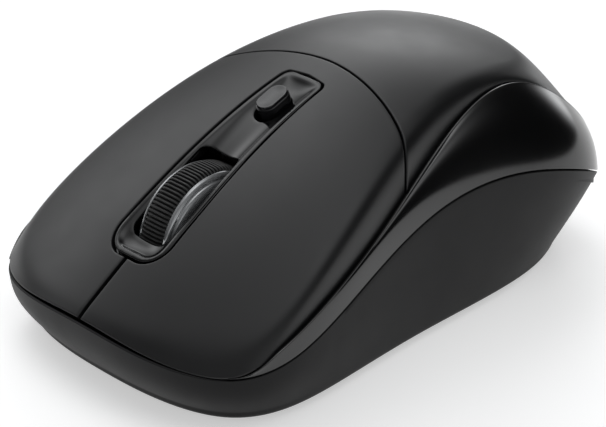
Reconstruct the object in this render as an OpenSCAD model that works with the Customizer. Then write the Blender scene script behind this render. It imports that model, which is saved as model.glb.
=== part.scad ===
// Wireless computer mouse: a low hand-shaped shell with two hinged keys, a
// pressable scroll wheel, a small button behind it and the parts inside.
// Millimetres. +Z is up and z = 0 is the table. The keys face -Y, the palm
// end faces +Y, and the origin is under the middle of the outline.

/* [Outer shell] */

// Skin thickness of the top pieces
skin_wall = 1.7; // [1.2:0.1:2.4]

// Wall thickness of the bottom case
case_wall = 1.8; // [1.4:0.1:2.6]

// Floor thickness of the bottom case
floor_wall = 1.8; // [1.4:0.1:2.6]

// Width of the seam between fixed top pieces
seam = 0.3; // [0.2:0.05:0.6]

// Width of the slot between the two keys
key_slot = 0.7; // [0.5:0.1:1.2]

// Height added between the case rim and the front edge of the keys
front_gap = 1.2; // [1.0:0.1:1.6]

/* [Scroll wheel] */

// Outer radius of the rubber tyre
wheel_r = 11.5; // [10.5:0.1:11.8]

// Half width of the rubber tyre
tyre_half = 2.45; // [1.8:0.05:3]

// Half width of the clear wheel hub
hub_half = 3.7; // [3.5:0.1:4]

// Number of ribs on the tyre
rib_count = 104; // [24:2:120]

/* [Small button] */

// Half width of the button behind the wheel
button_half = 1.9; // [1.6:0.05:2.2]

// Length of the button behind the wheel
button_length = 6.2; // [5.5:0.1:7]

/* [Feet] */

// Height of the pads above the table
foot_height = 0.6; // [0.5:0.05:0.9]

/* [Hidden] */

loop_half = 36;
loop_all = 2 * loop_half;
last_t = 10;

// Driving sizes of the shell. A half outline has 11 control points on the +X
// side, from 0 in the middle of the front to 10 in the middle of the tail.
// Points 0 to 2 round the front, 3 to 7 follow the side, 8 to 10 round the tail.
end_half = 31;
waist_half = 26.5;
side_y = -33;
side_step = 17;
front_reach = 19;
tail_reach = 17;
front_share = [0, 0.48, 0.9];
tail_share = [0.75, 0.34, 0];
front_power = 2.8;
tail_power = 2.4;

// Heights of the case rim and of the trim band above it
base_height = 2.2;
rim_low = 9.5;
rim_rise = 16.5;
front_smile = 3.4;
band_height = 4;
band_rise = 7;

// How far the outline of the keys and palm is drawn in and back at the side
edge_inset = 10;
edge_shift = 9.5;

// Long profile of the top: its highest point and how fast it falls both ways
crown_y = 13;
crown_height = 41;
front_radius = 60;
tail_radius = 70;

// A smooth bump of height 1 at a centre, and a smooth step from 0 to 1
function hump(k, centre, reach) = abs(k - centre) < reach ? pow(cos(90 * (k - centre) / reach), 2) : 0;
function smooth(v) = let (u = max(0, min(1, v))) u * u * (3 - 2 * u);
function mix(a, b, k) = a + (b - a) * k;
function rounding(share, power) = pow(1 - pow(share, power), 1 / power);

function rim_x(k) =
    k < 3 ? end_half * front_share[k] :
    k > 7 ? end_half * tail_share[k - 8] :
    mix(waist_half, end_half, pow(abs(k - 5) / 2, 1.4) * (k > 5 ? 0.9 : 1));
function rim_y(k) =
    k < 3 ? side_y - front_reach * rounding(front_share[k], front_power) :
    k > 7 ? side_y + 4 * side_step + tail_reach * rounding(tail_share[k - 8], tail_power) :
    side_y + side_step * (k - 3);
function rim_z(k) = rim_low + rim_rise * hump(k, 5.7, 3.4) + front_smile * hump(k, 0, 2);

// The base is drawn in below the rim, most at the front and the tail
function base_part(k) = mix(0.84, 0.97, smooth((k - 1) / 3)) - 0.25 * smooth((k - 5) / 3);
base_line = [for (k = [0:10]) [rim_x(k) * base_part(k),
    rim_y(k) + 5.2 * (1 - smooth((k - 0.5) / 2.5)) - 2.5 * smooth((k - 3) / 3), base_height]];
rim_line = [for (k = [0:10]) [rim_x(k), rim_y(k), rim_z(k)]];
edge_line = [for (k = [0:10]) [rim_x(k) - 0.3 * hump(k, 2.5, 2) - edge_inset * hump(k, 6.3, 2.6),
    rim_y(k) + 0.3 * hump(k, 0, 3) + edge_shift * hump(k, 5.7, 2.7) - 4 * hump(k, 3, 1),
    rim_z(k) + front_gap + band_height * smooth((k - 2.4) / 1.8) + band_rise * hump(k, 5.8, 2.1)]];
// The crease is where the top would meet the side if it weren't rounded
crease_line = [for (k = [0:10]) [rim_x(k) * mix(0.95, 0.6, smooth((k - 3.5) / 3)),
    rim_y(k) + 2.2 + 2.5 * hump(k, 5.2, 1.5) - 11.5 * smooth((k - 6.4) / 2), 0]];
side_fall = 0.0085;

function spline_weights(u) =
    [pow(1 - u, 3), 3 * pow(u, 3) - 6 * u * u + 4, -3 * pow(u, 3) + 3 * u * u + 3 * u + 1, pow(u, 3)] / 6;
function flip(p) = [-p[0], p[1], p[2]];
function control(c, k) = k < 0 ? flip(c[1]) : k >= len(c) ? flip(c[len(c) - 2]) : c[k];
function curve(c, t) =
    let (i = min(floor(t), len(c) - 2), b = spline_weights(t - i))
    b[0] * control(c, i - 1) + b[1] * control(c, i) + b[2] * control(c, i + 1) + b[3] * control(c, i + 2);
function ridge(y) =
    let (d = y - crown_y)
    crown_height - (d < 0 ? norm([front_radius, d]) - front_radius : d * d / (2 * tail_radius));
function top_height(x, y) = ridge(y) - side_fall * x * x;
function inward(c, t) =
    let (d = curve(c, min(t + 0.02, last_t)) - curve(c, max(t - 0.02, 0)), m = norm([d[0], d[1]]))
    [-d[1] / m, d[0] / m, 0];
function clamp01(v) = max(0, min(1, v));

// Outline and rounding of the top skin at one place round the loop
function skin_edge(t) = curve(edge_line, t) + 0.9 * inward(edge_line, t);
function on_top(x, y) = [x, y, top_height(x, y)];
function crease(t) = let (p = curve(crease_line, t)) on_top(p[0], p[1]);
function shoulder(t) = let (p = curve(crease_line, t)) on_top(p[0] * 0.84, p[1] * 0.9);
function tightness(t) = mix(0.9, 0.72, clamp01((t - 4.5) / 2.5));
function bevel_point(t, u) =
    let (k = skin_edge(t), d = crease(t), e = shoulder(t), a = tightness(t),
        p1 = mix(k, d, a), p2 = mix(e, d, a))
    pow(1 - u, 3) * k + 3 * u * pow(1 - u, 2) * p1 + 3 * u * u * (1 - u) * p2 + pow(u, 3) * e;
function inner_point(t, s) =
    let (p = curve(crease_line, t)) on_top(p[0] * 0.84 * (1 - s), p[1] * 0.9 * (1 - 0.4 * s));

bevel_steps = [0, 0.14, 0.32, 0.5, 0.68, 0.86, 1];
inner_steps = [0.25, 0.5, 0.75];
function skin_side(t) =
    concat([for (u = bevel_steps) bevel_point(t, u)], [for (s = inner_steps) inner_point(t, s)]);
function loop_t(i) = last_t * (i <= loop_half ? i : loop_all - i) / loop_half;
function loop_point(i, p) = i <= loop_half ? p : flip(p);

skin_count = len(bevel_steps) + len(inner_steps);
skin_grid = let (half = [for (i = [0:loop_half]) skin_side(last_t * i / loop_half)])
    [for (j = [0:skin_count - 1]) [for (i = [0:loop_all - 1])
        i <= loop_half ? half[i][j] : flip(half[loop_all - i][j])]];
spine = [for (i = [0:loop_half]) inner_point(last_t * i / loop_half, 1)];

function grid_normal(g, j, i) =
    let (n = len(g[0]), a = g[j][(i + 1) % n] - g[j][(i + n - 1) % n],
        b = g[min(j + 1, len(g) - 1)][i] - g[max(j - 1, 0)][i], c = cross(a, b))
    c / norm(c);
function lowered(g, d) = [for (j = [0:len(g) - 1]) [for (i = [0:len(g[0]) - 1])
    g[j][i] - d * grid_normal(g, j, i)]];

// A dome shell between two depths below the top skin
module skin_shell(outer_depth, inner_depth) {
    n = loop_all;
    a = outer_depth == 0 ? skin_grid : lowered(skin_grid, outer_depth);
    b = lowered(skin_grid, inner_depth);
    r = skin_count;
    h = loop_half;
    pts = concat([for (row = a) for (p = row) p], [for (p = spine) p - [0, 0, outer_depth]],
        [for (row = b) for (p = row) p], [for (p = spine) p - [0, 0, inner_depth]]);
    off = r * n + h + 1;
    function id(j, i) = j < r ? j * n + (i % n) : r * n + (i % n <= h ? i % n : n - i % n);
    quads = [for (j = [0:r - 1]) for (i = [0:n - 1]) [id(j, i), id(j, i + 1), id(j + 1, i + 1), id(j + 1,
        i)]];
    tris = [for (q = quads) for (f = [[q[0], q[2], q[1]], [q[0], q[3], q[2]]])
        if (f[0] != f[1] && f[1] != f[2] && f[0] != f[2]) f];
    faces = concat(tris, [for (f = tris) [f[0] + off, f[2] + off, f[1] + off]],
        [for (i = [0:n - 1]) for (f = [[id(0, i), id(0, i + 1), id(0, i + 1) + off],
            [id(0, i), id(0, i + 1) + off, id(0, i) + off]]) f]);
    polyhedron(points = pts, faces = faces, convexity = 8);
}

// Rows of loop points closed at both ends by flat caps
module loop_solid(rows) {
    n = len(rows[0]);
    r = len(rows);
    pts = [for (row = rows) for (p = row) p];
    faces = concat([[for (i = [0:n - 1]) i]], [[for (i = [0:n - 1]) (r - 1) * n + n - 1 - i]],
        [for (j = [0:r - 2]) for (i = [0:n - 1])
            for (f = [[j * n + i, (j + 1) * n + (i + 1) % n, j * n + (i + 1) % n],
                [j * n + i, (j + 1) * n + i, (j + 1) * n + (i + 1) % n]]) f]);
    polyhedron(points = pts, faces = faces, convexity = 6);
}
function loop_row(f) = [for (i = [0:loop_all - 1]) loop_point(i, f(loop_t(i)))];

// Plan regions
arc_w = 27;
arc_ends = -8;
arc_rise = 11;
arc_power = 1.75;
function arc_y(x) = arc_ends + arc_rise * rounding(min(abs(x) / arc_w, 1), arc_power);
arc_points = [for (i = [-24:24]) let (x = arc_w * sin(i * 3.75)) [x, arc_y(x)]];
module front_region(shift) {
    polygon(concat([for (p = arc_points) [p[0], p[1] - shift]],
        [[60, arc_ends - shift - 6], [60, -70], [-60, -70], [-60, arc_ends - shift - 6]]));
}
inlay_front = -41;
inlay_rear = -2.2;
module inlay_outline(grow) {
    offset(delta = grow) hull() {
        for (s = [-1, 1]) {
            translate([s * 1.75, inlay_front + 4]) circle(r = 4, $fn = 32);
            translate([s * 2.65, inlay_rear - 1.6]) circle(r = 1.6, $fn = 24);
        }
    }
}
flex_line = -4;
module key_region(side) {
    difference() {
        front_region(seam / 2);
        translate([side > 0 ? -80 + key_slot / 2 : -key_slot / 2, -80]) square([80, 160]);
        translate([-80, flex_line]) square([160, 80]);
        inlay_outline(0.35);
    }
}

// ---- fixed shell ----

case_low = foot_height;
floor_top = case_low + floor_wall;
function case_out(t, k) =
    let (a = curve(base_line, t), b = curve(rim_line, t), n = inward(rim_line, t),
        bulge = mix(1.1, 0.35, clamp01((t - 1.5) / 2)) * sin(180 * k))
    mix(a, b, k) - bulge * [n[0], n[1], 0];
case_steps = [0, 0.25, 0.5, 0.75, 1];
module case_shell() {
    outer = concat(
        [loop_row(function(t) let (p = curve(base_line, t) + 2.2 * inward(base_line, t))
            [p[0], p[1], case_low])],
        [loop_row(function(t) let (p = curve(base_line, t) + 0.7 * inward(base_line, t))
            [p[0], p[1], case_low + 0.5])],
        [for (k = case_steps) loop_row(function(t) case_out(t, k))]);
    inner = concat(
        [for (k = [1, 0.75, 0.5, 0.25]) loop_row(function(t) case_out(t, k) + case_wall * inward(rim_line,
            t))],
        [loop_row(function(t) let (p = case_out(t, 0.02) + (case_wall + 0.5) * inward(base_line, t))
            [p[0], p[1], floor_top])]);
    loop_solid(concat(outer, inner));
}
screw_places = [[18.5, 0], [-18.5, 0], [15.6, 33], [-15.6, 33]];
sensor_y = -12.5;
receiver_x = 17.2;
receiver_y = 19.3;
module rounded_box(size, r) {
    linear_extrude(height = size[2]) offset(r = r, $fn = 24)
        translate([-size[0] / 2 + r, -size[1] / 2 + r]) square([size[0] - 2 * r, size[1] - 2 * r]);
}
door_y0 = 0.5;
door_y1 = 39.5;
door_half = 11;
hinge_y = door_y0 + 1.1;
hinge_z = case_low + 0.8;
// Round bar across the case at the battery door's hinge
module door_axis(half, r) {
    translate([-half, hinge_y, hinge_z]) rotate([0, 90, 0]) cylinder(r = r, h = 2 * half, $fn = 32);
}
module bottom_case() {
    color([0.2, 0.2, 0.21])
    difference() {
        union() {
            difference() {
                resize([0, 0, 0]) case_shell();
                // battery door opening with a step inside
                translate([0, (door_y0 + door_y1) / 2, 0]) rounded_box([2 * door_half, door_y1 - door_y0,
                    5], 2);
                // receiver opening
                translate([receiver_x, receiver_y, 0]) rounded_box([6.9, 14.9, 5], 0.8);
                // power switch slot
                translate([-18, 15, 0]) rounded_box([3.6, 8.2, 5], 0.6);
                // light window under the sensor
                translate([0, sensor_y, 0]) rounded_box([9, 12, 5], 3);
                // foot recesses
                translate([0, -37.5, case_low - 1]) rounded_box([34.4, 7.4, 1.3], 3.4);
                translate([0, 43.7, case_low - 1]) rounded_box([18.4, 5.4, 1.3], 2.5);
            }
            for (p = screw_places) translate([p[0], p[1], floor_top - 0.6])
                cylinder(r = 2.7, h = 12 - floor_top + 0.6, $fn = 40);
            for (p = board_holes) translate([p[0], p[1], floor_top - 0.6])
                cylinder(r = 2.4, h = board_low - floor_top + 0.6, $fn = 40);
            translate([0, -44, floor_top - 0.6]) cylinder(r = 1.8, h = 12 - floor_top + 0.6, $fn = 40);
        }
        door_axis(12, 0.65);
        translate([0, -44, 6]) cylinder(r = 1.1, h = 8, $fn = 32);
        for (p = screw_places) translate([p[0], p[1], 0]) {
            cylinder(r = 1.35, h = 14, $fn = 32);
            cylinder(r = 2.5, h = case_low + 1.6, $fn = 40);
        }
        for (p = board_holes) translate([p[0], p[1], floor_top + 0.6])
            cylinder(r = 0.85, h = 8, $fn = 32);
    }
}

// The gloss band between the case rim and the top skin, from one front tip
// round the tail to the other
trim_t0 = 2.0;
trim_steps = 32;
function trim_profile(t) =
    let (c0 = curve(edge_line, t), b0 = curve(rim_line, t), n = inward(edge_line, t),
        grow = clamp01((t - trim_t0) / 0.9), b = b0 + [0, 0, 0.12],
        c = mix([c0[0], c0[1], b[2] + 0.5], c0, grow),
        w = norm([b[0] - c[0], b[1] - c[1]]),
        m = [mix(c[0], b[0], 0.78), mix(c[1], b[1], 0.78), mix(b[2], c[2], 0.78)],
        out = [for (u = [0, 0.2, 0.4, 0.6, 0.8, 1]) pow(1 - u, 2) * c + 2 * u * (1 - u) * m + u * u * b],
        deep = min(0.6 + w, 2.2))
    concat(out, [for (k = [5, 4, 3, 2, 1, 0]) out[k] + mix(0.6, deep, k / 5) * n
        + [0, 0, k == 0 ? -0.02 : 0]]);
module trim_solid() {
    half = [for (i = [0:trim_steps]) trim_profile(trim_t0 + (last_t - trim_t0) * i / trim_steps)];
    rows = concat(half, [for (i = [trim_steps - 1:-1:0]) [for (p = half[i]) flip(p)]]);
    n = len(rows[0]);
    r = len(rows);
    pts = [for (row = rows) for (p = row) p];
    faces = concat([[for (i = [0:n - 1]) i]], [[for (i = [0:n - 1]) (r - 1) * n + n - 1 - i]],
        [for (j = [0:r - 2]) for (i = [0:n - 1])
            for (f = [[j * n + i, (j + 1) * n + (i + 1) % n, j * n + (i + 1) % n],
                [j * n + i, (j + 1) * n + i, (j + 1) * n + (i + 1) % n]]) f]);
    polyhedron(points = pts, faces = faces, convexity = 8);
}
module side_trim() {
    color([0.03, 0.03, 0.035]) resize([0, 0, 0]) trim_solid();
}

module palm_cover() {
    color([0.16, 0.16, 0.17])
    difference() {
        union() {
            resize([0, 0, 0]) difference() {
                skin_shell(0, skin_wall);
                translate([0, 0, -5]) linear_extrude(height = 60) front_region(-seam / 2);
            }
            resize([0, 0, 0]) intersection() {
                skin_shell_core(0.8);
                for (p = [[15.6, 33], [-15.6, 33]]) translate([p[0], p[1], 12]) cylinder(r = 2.6, h = 40,
                    $fn = 32);
            }
        }
        for (p = [[15.6, 33], [-15.6, 33]]) translate([p[0], p[1], 11]) cylinder(r = 1.0, h = 9, $fn = 32);
    }
}
// Everything under the top skin, down to the table
module skin_shell_core(depth) {
    n = loop_all;
    a = lowered(skin_grid, depth);
    r = skin_count;
    h = loop_half;
    pts = concat([for (row = a) for (p = row) p], [for (p = spine) p - [0, 0, depth]],
        [for (i = [0:n - 1]) [a[0][i][0], a[0][i][1], -1]]);
    base = r * n + h + 1;
    function id(j, i) = j < r ? j * n + (i % n) : r * n + (i % n <= h ? i % n : n - i % n);
    quads = [for (j = [0:r - 1]) for (i = [0:n - 1]) [id(j, i), id(j, i + 1), id(j + 1, i + 1), id(j + 1,
        i)]];
    tris = [for (q = quads) for (f = [[q[0], q[2], q[1]], [q[0], q[3], q[2]]])
        if (f[0] != f[1] && f[1] != f[2] && f[0] != f[2]) f];
    faces = concat(tris, [for (i = [0:n - 1]) for (f = [[i, (i + 1) % n, base + (i + 1) % n],
            [i, base + (i + 1) % n, base + i]]) f], [[for (i = [0:n - 1]) base + i]]);
    polyhedron(points = pts, faces = faces, convexity = 6);
}

module key_web() {
    color([0.2, 0.2, 0.21]) resize([0, 0, 0]) intersection() {
        skin_shell(0, skin_wall);
        translate([0, 0, -5]) linear_extrude(height = 60) difference() {
            front_region(seam / 2);
            translate([-80, -160]) square([160, 160 + flex_line + 0.35]);
            inlay_outline(0.35);
        }
    }
}
key_stem = [15, -35];
module key(side) {
    color([0.2, 0.2, 0.21]) resize([0, 0, 0]) {
        intersection() {
            skin_shell(0, skin_wall);
            translate([0, 0, -5]) linear_extrude(height = 60) key_region(side);
        }
        intersection() {
            skin_shell_core(0.8);
            translate([side * key_stem[0], key_stem[1], plunger_top + 0.12]) cylinder(r = 1.7, h = 20,
                $fn = 24);
        }
    }
}
module left_key() { key(1); }
module right_key() { key(-1); }

// Inner frame under the curved seam; it carries the web, inlay and palm cover
module top_frame() {
    color([0.1, 0.1, 0.1])
    difference() {
        resize([0, 0, 0]) union() {
            intersection() {
                skin_shell(skin_wall + 0.05, skin_wall + 1.5);
                translate([0, 0, -5]) linear_extrude(height = 60) difference() {
                    translate([-21, -3.4]) square([42, 13]);
                    translate([-4.6, -10]) square([9.2, 7.85]);
                }
            }
            intersection() {
                skin_shell_core(skin_wall + 0.8);
                for (s = [-1, 1]) translate([s * 18.5, 0, 12]) cylinder(r = 2.6, h = 30, $fn = 32);
            }
        }
        for (s = [-1, 1]) translate([s * 18.5, 0, 11]) cylinder(r = 1.0, h = 9, $fn = 32);
    }
}

// ---- centre strip, wheel and small button ----

wheel_y = -25.3;
wheel_z = 19;
button_y = -9.8;
// Outline of the inlay as a loop that starts at the middle of its front end
function arc_part(cx, cy, r, a0, a1, n) = [for (i = [0:n]) let (a = mix(a0, a1, i / n)) [cx + r * cos(a),
    cy + r * sin(a)]];
inlay_lean = 2.6;
inlay_front_arc = arc_part(1.75, inlay_front + 4, 4, -90, inlay_lean, 10);
inlay_rear_arc = arc_part(2.65, inlay_rear - 1.6, 1.6, inlay_lean, 90, 6);
inlay_half = concat([[0, inlay_front]], inlay_front_arc,
    [for (i = [1:11]) mix(inlay_front_arc[10], inlay_rear_arc[0], i / 12)],
    inlay_rear_arc, [[0, inlay_rear]]);
inlay_n = len(inlay_half) - 1;
inlay_mid = (inlay_front + inlay_rear) / 2;
function trough_middle(y) = mix(1.6, 0.8, clamp01((y + 21) / 7));
function trough_point(p, s, drop) =
    let (x = p[0] * (1 - s) * (drop > 0 ? 0.93 : 0.86), y = inlay_mid + (p[1] - inlay_mid) * (1 - 0.035)
        * (1 - 0.24 * s))
    [x, y, top_height(x, y) - drop - 0.2 - (trough_middle(y) - 0.2) * (1 - pow(1 - s, 2))];
trough_steps = [0, 0.12, 0.28, 0.48, 0.72];
// Solid from z = 2 up to a surface shaped like the hollow of the inlay
module trough_core(drop) {
    n = 2 * inlay_n;
    h = inlay_n;
    r = len(trough_steps);
    function src(i) = i <= h ? inlay_half[i] : [-inlay_half[n - i][0], inlay_half[n - i][1]];
    rows = [for (s = trough_steps) [for (i = [0:n - 1]) trough_point(src(i), s, drop)]];
    pts = concat([for (row = rows) for (p = row) p], [for (i = [0:h]) trough_point(inlay_half[i], 1, drop)],
        [for (i = [0:n - 1]) [rows[0][i][0], rows[0][i][1], 2]]);
    base = r * n + h + 1;
    function id(j, i) = j < r ? j * n + (i % n) : r * n + (i % n <= h ? i % n : n - i % n);
    quads = [for (j = [0:r - 1]) for (i = [0:n - 1]) [id(j, i), id(j, i + 1), id(j + 1, i + 1), id(j + 1,
        i)]];
    tris = [for (q = quads) for (f = [[q[0], q[2], q[1]], [q[0], q[3], q[2]]])
        if (f[0] != f[1] && f[1] != f[2] && f[0] != f[2]) f];
    faces = concat(tris, [for (i = [0:n - 1]) for (f = [[i, (i + 1) % n, base + (i + 1) % n],
            [i, base + (i + 1) % n, base + i]]) f], [[for (i = [0:n - 1]) base + i]]);
    polyhedron(points = pts, faces = faces, convexity = 6);
}
module inlay_solid() {
    difference() {
        union() {
            // raised rim and side walls
            difference() {
                intersection() {
                    skin_shell(0.1, 4.2);
                    translate([0, 0, -5]) linear_extrude(height = 60) inlay_outline(0);
                }
                translate([0, inlay_mid, 0]) linear_extrude(height = 60)
                    scale([0.85, 0.96]) translate([0, -inlay_mid]) inlay_outline(0);
            }
            // concave floor
            difference() {
                trough_core(0);
                trough_core(1.2);
                translate([-9, inlay_front - 2, 0]) cube([18, 12, 17]);
                translate([-9, inlay_front + 10, 0]) cube([18, 40, 25]);
            }
        }
        // wheel opening, wheel clearance and button opening
        linear_extrude(height = 60) hull() {
            for (k = [-1, 1]) {
                translate([k * (hub_half - 0.9), -35.7]) circle(r = 1.2, $fn = 20);
                translate([k * (hub_half - 1.7), -22.3]) circle(r = 2.0, $fn = 24);
            }
        }
        translate([-hub_half - 0.25, wheel_y, wheel_z]) rotate([0, 90, 0])
            cylinder(r = wheel_r + 0.4, h = 2 * hub_half + 0.5, $fn = 96);
        button_frame() translate([0, 0, -8]) linear_extrude(height = 12) button_stadium(button_half + 0.35);
    }
}
module centre_inlay() {
    color([0.02, 0.02, 0.025])
    union() {
        resize([0, 0, 0]) inlay_solid();
        // peg and rib that locate the front end in the case
        translate([0, -44, 7]) cylinder(r = 1.05, h = 7.4, $fn = 32);
        resize([0, 0, 0]) intersection() {
            skin_shell_core(3.4);
            translate([-1.6, -45.1, 13.7]) cube([3.2, 4.5, 12]);
        }
        // posts for the small board under the button
        button_frame() for (q = [[-3.3, 4.4], [3.3, 4.4], [-3.3, -4.2], [3.3, -4.2]])
            translate([q[0], q[1], board2_top]) cylinder(r = 0.8, h = -1.4 - board2_top, $fn = 24);
    }
}
// The small button's own frame: its z axis leaves the sloping top skin
button_tilt = 21.3;
module button_frame() {
    translate([0, button_y, 36.91]) rotate([button_tilt, 0, 0]) children();
}
board2_top = -6.3;
button_top = 1.1;
module button_stadium(r) {
    offset(r = r, $fn = 40) square([0.02, button_length - 2 * button_half], center = true);
}
module small_button() {
    color([0.04, 0.04, 0.045]) button_frame() {
        translate([0, 0, -3.3]) linear_extrude(height = button_top + 3.3) button_stadium(button_half);
        translate([0, 0, -3.6]) linear_extrude(height = 0.5) button_stadium(button_half + 0.8);
        translate([0, 0, -4.2]) cylinder(r = 1.2, h = 1, $fn = 24);
    }
}
module button_board() {
    color([0.1, 0.35, 0.2]) button_frame() translate([0, 0.2, board2_top - 1]) rounded_box([8.6, 10.2, 1],
        0.8);
}
module button_switch_body() {
    color([0.12, 0.12, 0.12]) button_frame() translate([0, 0, board2_top]) difference() {
        rounded_box([4.6, 4.6, 1.5], 0.5);
        translate([0, 0, 0.3]) cylinder(r = 1.15, h = 2, $fn = 32);
    }
}
module button_switch_plunger() {
    color([0.75, 0.7, 0.6]) button_frame() translate([0, 0, board2_top + 0.9]) cylinder(r = 1.05, h = 1.1,
        $fn = 32);
}

module along_x(x0, x1, r, fn = 48) {
    translate([x0, wheel_y, wheel_z]) rotate([0, 90, 0]) cylinder(r = r, h = x1 - x0, $fn = fn);
}
module wheel_hub() {
    color([0.75, 0.78, 0.8])
    translate([0, wheel_y, wheel_z]) rotate([0, 90, 0]) rotate_extrude($fn = 72)
        polygon([[1.06, -hub_half], [3, -hub_half], [3, -2.2], [8.4, -2.2], [8.9, -hub_half],
            [10.2, -hub_half], [11.15, -tyre_half - 0.05], [11.15, -tyre_half - 0.01], [9.9,
                -tyre_half - 0.01],
            [9.9, tyre_half + 0.01], [11.15, tyre_half + 0.01], [11.15, tyre_half + 0.05],
            [10.2, hub_half], [8.9, hub_half], [8.4, 2.2], [3, 2.2], [3, hub_half], [1.06, hub_half]]);
}
module wheel_tyre() {
    color([0.05, 0.05, 0.05])
    translate([-tyre_half, wheel_y, wheel_z]) rotate([0, 90, 0]) difference() {
        linear_extrude(height = 2 * tyre_half) difference() {
            polygon([for (i = [0:rib_count - 1]) for (k = [[0, 0], [0.3, 0], [0.5, 1], [0.8, 1]])
                let (a = (i + k[0]) * 360 / rib_count, r = wheel_r - 0.35 * k[1]) [r * cos(a), r * sin(a)]]);
        }
        translate([0, 0, -1]) cylinder(r = 9.9, h = 2 * tyre_half + 2, $fn = 72);
    }
}
module wheel_axle() {
    color([0.8, 0.8, 0.82]) along_x(-9.5, 7.4, 1.05, 32);
}
pivot_y = -13.5;
pivot_z = 14.2;
module wheel_cradle() {
    color([0.1, 0.1, 0.1])
    difference() {
        union() {
            for (s = [-1, 1]) {
                hull() {
                    translate([s * 6.3 - 0.7, wheel_y, wheel_z]) rotate([0, 90, 0]) cylinder(r = 2.6,
                        h = 1.4, $fn = 32);
                    translate([s * 6.3 - 0.7, pivot_y, pivot_z]) rotate([0, 90, 0]) cylinder(r = 1.9,
                        h = 1.4, $fn = 32);
                }
                translate([s * 6.3 - 0.7, wheel_y - 13.6, 13.6]) cube([1.4, 15, 2.4]);
            }
            translate([-7, wheel_y - 14.6, 13.6]) cube([14, 1.6, 1.8]);
            translate([-6, pivot_y, pivot_z]) rotate([0, 90, 0]) cylinder(r = 0.9, h = 12, $fn = 32);
            for (x = [-8.6, 5.8]) translate([x, pivot_y, pivot_z]) rotate([0, 90, 0]) cylinder(r = 1.2,
                h = 2.8, $fn = 32);
        }
        along_x(-8, 8, 1.1, 32);
    }
}
module wheel_bracket() {
    color([0.1, 0.1, 0.1])
    difference() {
        union() {
            for (s = [-1, 1]) {
                translate([s * 8.35 - 0.75, pivot_y - 2.4, board_top]) cube([1.5, 4.8, 7.6]);
                translate([s * 9.6 - 2, pivot_y - 2.4, board_top]) cube([4, 4.8, 1.2]);
            }
        }
        translate([-12, pivot_y, pivot_z]) rotate([0, 90, 0]) cylinder(r = 1.25, h = 24, $fn = 32);
    }
}
module encoder_body() {
    color([0.15, 0.25, 0.45])
    difference() {
        translate([-11.9, wheel_y - 4.2, wheel_z - 3.7]) cube([4.8, 8.4, 7.7]);
        along_x(-9.7, 0, 1.15, 32);
        translate([-12.4, wheel_y - 3, wheel_z - 2.8]) cube([1.2, 6, 6]);
    }
}
wheel_switch_y = wheel_y - 13.8;
module wheel_switch_body() {
    color([0.12, 0.12, 0.12]) translate([0, wheel_switch_y, board_top]) difference() {
        rounded_box([6, 6, 3.4], 0.5);
        translate([0, 0, 2.4]) cylinder(r = 1.75, h = 2, $fn = 32);
    }
}
module wheel_switch_plunger() {
    color([0.7, 0.2, 0.15]) translate([0, wheel_switch_y, board_top + 3.05]) cylinder(r = 1.7, h = 2.05,
        $fn = 32);
}

// ---- electronics ----

board_low = 7.2;
board_top = 8.4;
board_holes = [[18.5, -23.6], [-18.5, -23.6], [17.5, -8.5], [-17.5, -8.5]];
plunger_top = 15.7;
module main_board() {
    color([0.08, 0.32, 0.18]) translate([0, 0, board_low]) difference() {
        linear_extrude(height = board_top - board_low) offset(r = 2, $fn = 24) polygon([[-19.5, -6.2],
            [19.5, -6.2],
            [19.5, -36], [16.5, -42.2], [4.5, -42.2], [4.5, -39.9], [-4.5, -39.9], [-4.5, -42.2], [-16.5,
                -42.2],
            [-19.5, -36]]);
        translate([0, wheel_y, -1]) linear_extrude(height = 4) square([12, 13], center = true);
        translate([0, sensor_y, -1]) cylinder(r = 2.2, h = 4, $fn = 32);
        for (p = board_holes) translate([p[0], p[1], -1]) cylinder(r = 1.1, h = 4, $fn = 32);
    }
}
module switch_body(side) {
    color([0.1, 0.1, 0.11]) translate([side * key_stem[0], key_stem[1] + 2.2, board_top]) difference() {
        rounded_box([5.8, 12.8, 6.5], 0.3);
        translate([0, -2.2, 5]) linear_extrude(height = 3) square([1.5, 3.1], center = true);
    }
}
module switch_plunger(side) {
    color([0.9, 0.88, 0.8]) translate([side * key_stem[0], key_stem[1], board_top + 5.7])
        linear_extrude(height = plunger_top - board_top - 5.7) square([1.3, 2.9], center = true);
}
module left_switch_body() { switch_body(1); }
module right_switch_body() { switch_body(-1); }
module left_switch_plunger() { switch_plunger(1); }
module right_switch_plunger() { switch_plunger(-1); }
module sensor_chip() {
    color([0.08, 0.08, 0.09]) translate([0, sensor_y, board_top]) difference() {
        rounded_box([9, 7.6, 2], 0.4);
        translate([0, 0, -1]) cylinder(r = 1.1, h = 1.8, $fn = 24);
    }
}
module sensor_lens() {
    color([0.8, 0.85, 0.9]) {
        translate([0, sensor_y, floor_top]) rounded_box([12, 15, 1.2], 2);
        translate([0, sensor_y, floor_top]) cylinder(r = 3.2, h = board_low - floor_top, $fn = 40);
        translate([0, sensor_y, 1.5]) rounded_box([8.4, 11.4, 1.4], 2.8);
    }
}
module sensor_lamp() {
    color([0.85, 0.2, 0.15]) translate([0, -5.2, board_top + 1.8]) rotate([90, 0, 0]) {
        cylinder(r = 1.5, h = 1.8, $fn = 32);
        cylinder(r = 1.75, h = 0.6, $fn = 32);
        translate([0, 0, 1.8]) rotate_extrude($fn = 32) intersection() { circle(r = 1.5); translate([0,
            0]) square(3); }
    }
    color([0.8, 0.8, 0.8]) translate([-0.4, -5.7, board_top]) cube([0.8, 0.6, 0.8]);
}
module radio_chip() {
    color([0.08, 0.08, 0.09]) translate([-13.5, -22, board_top]) rounded_box([5.5, 5.5, 0.9], 0.2);
}
module crystal_can() {
    color([0.8, 0.8, 0.8]) translate([11.2, -21.2, board_top]) rounded_box([4.6, 9.8, 3.4], 2.2);
}
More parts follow.
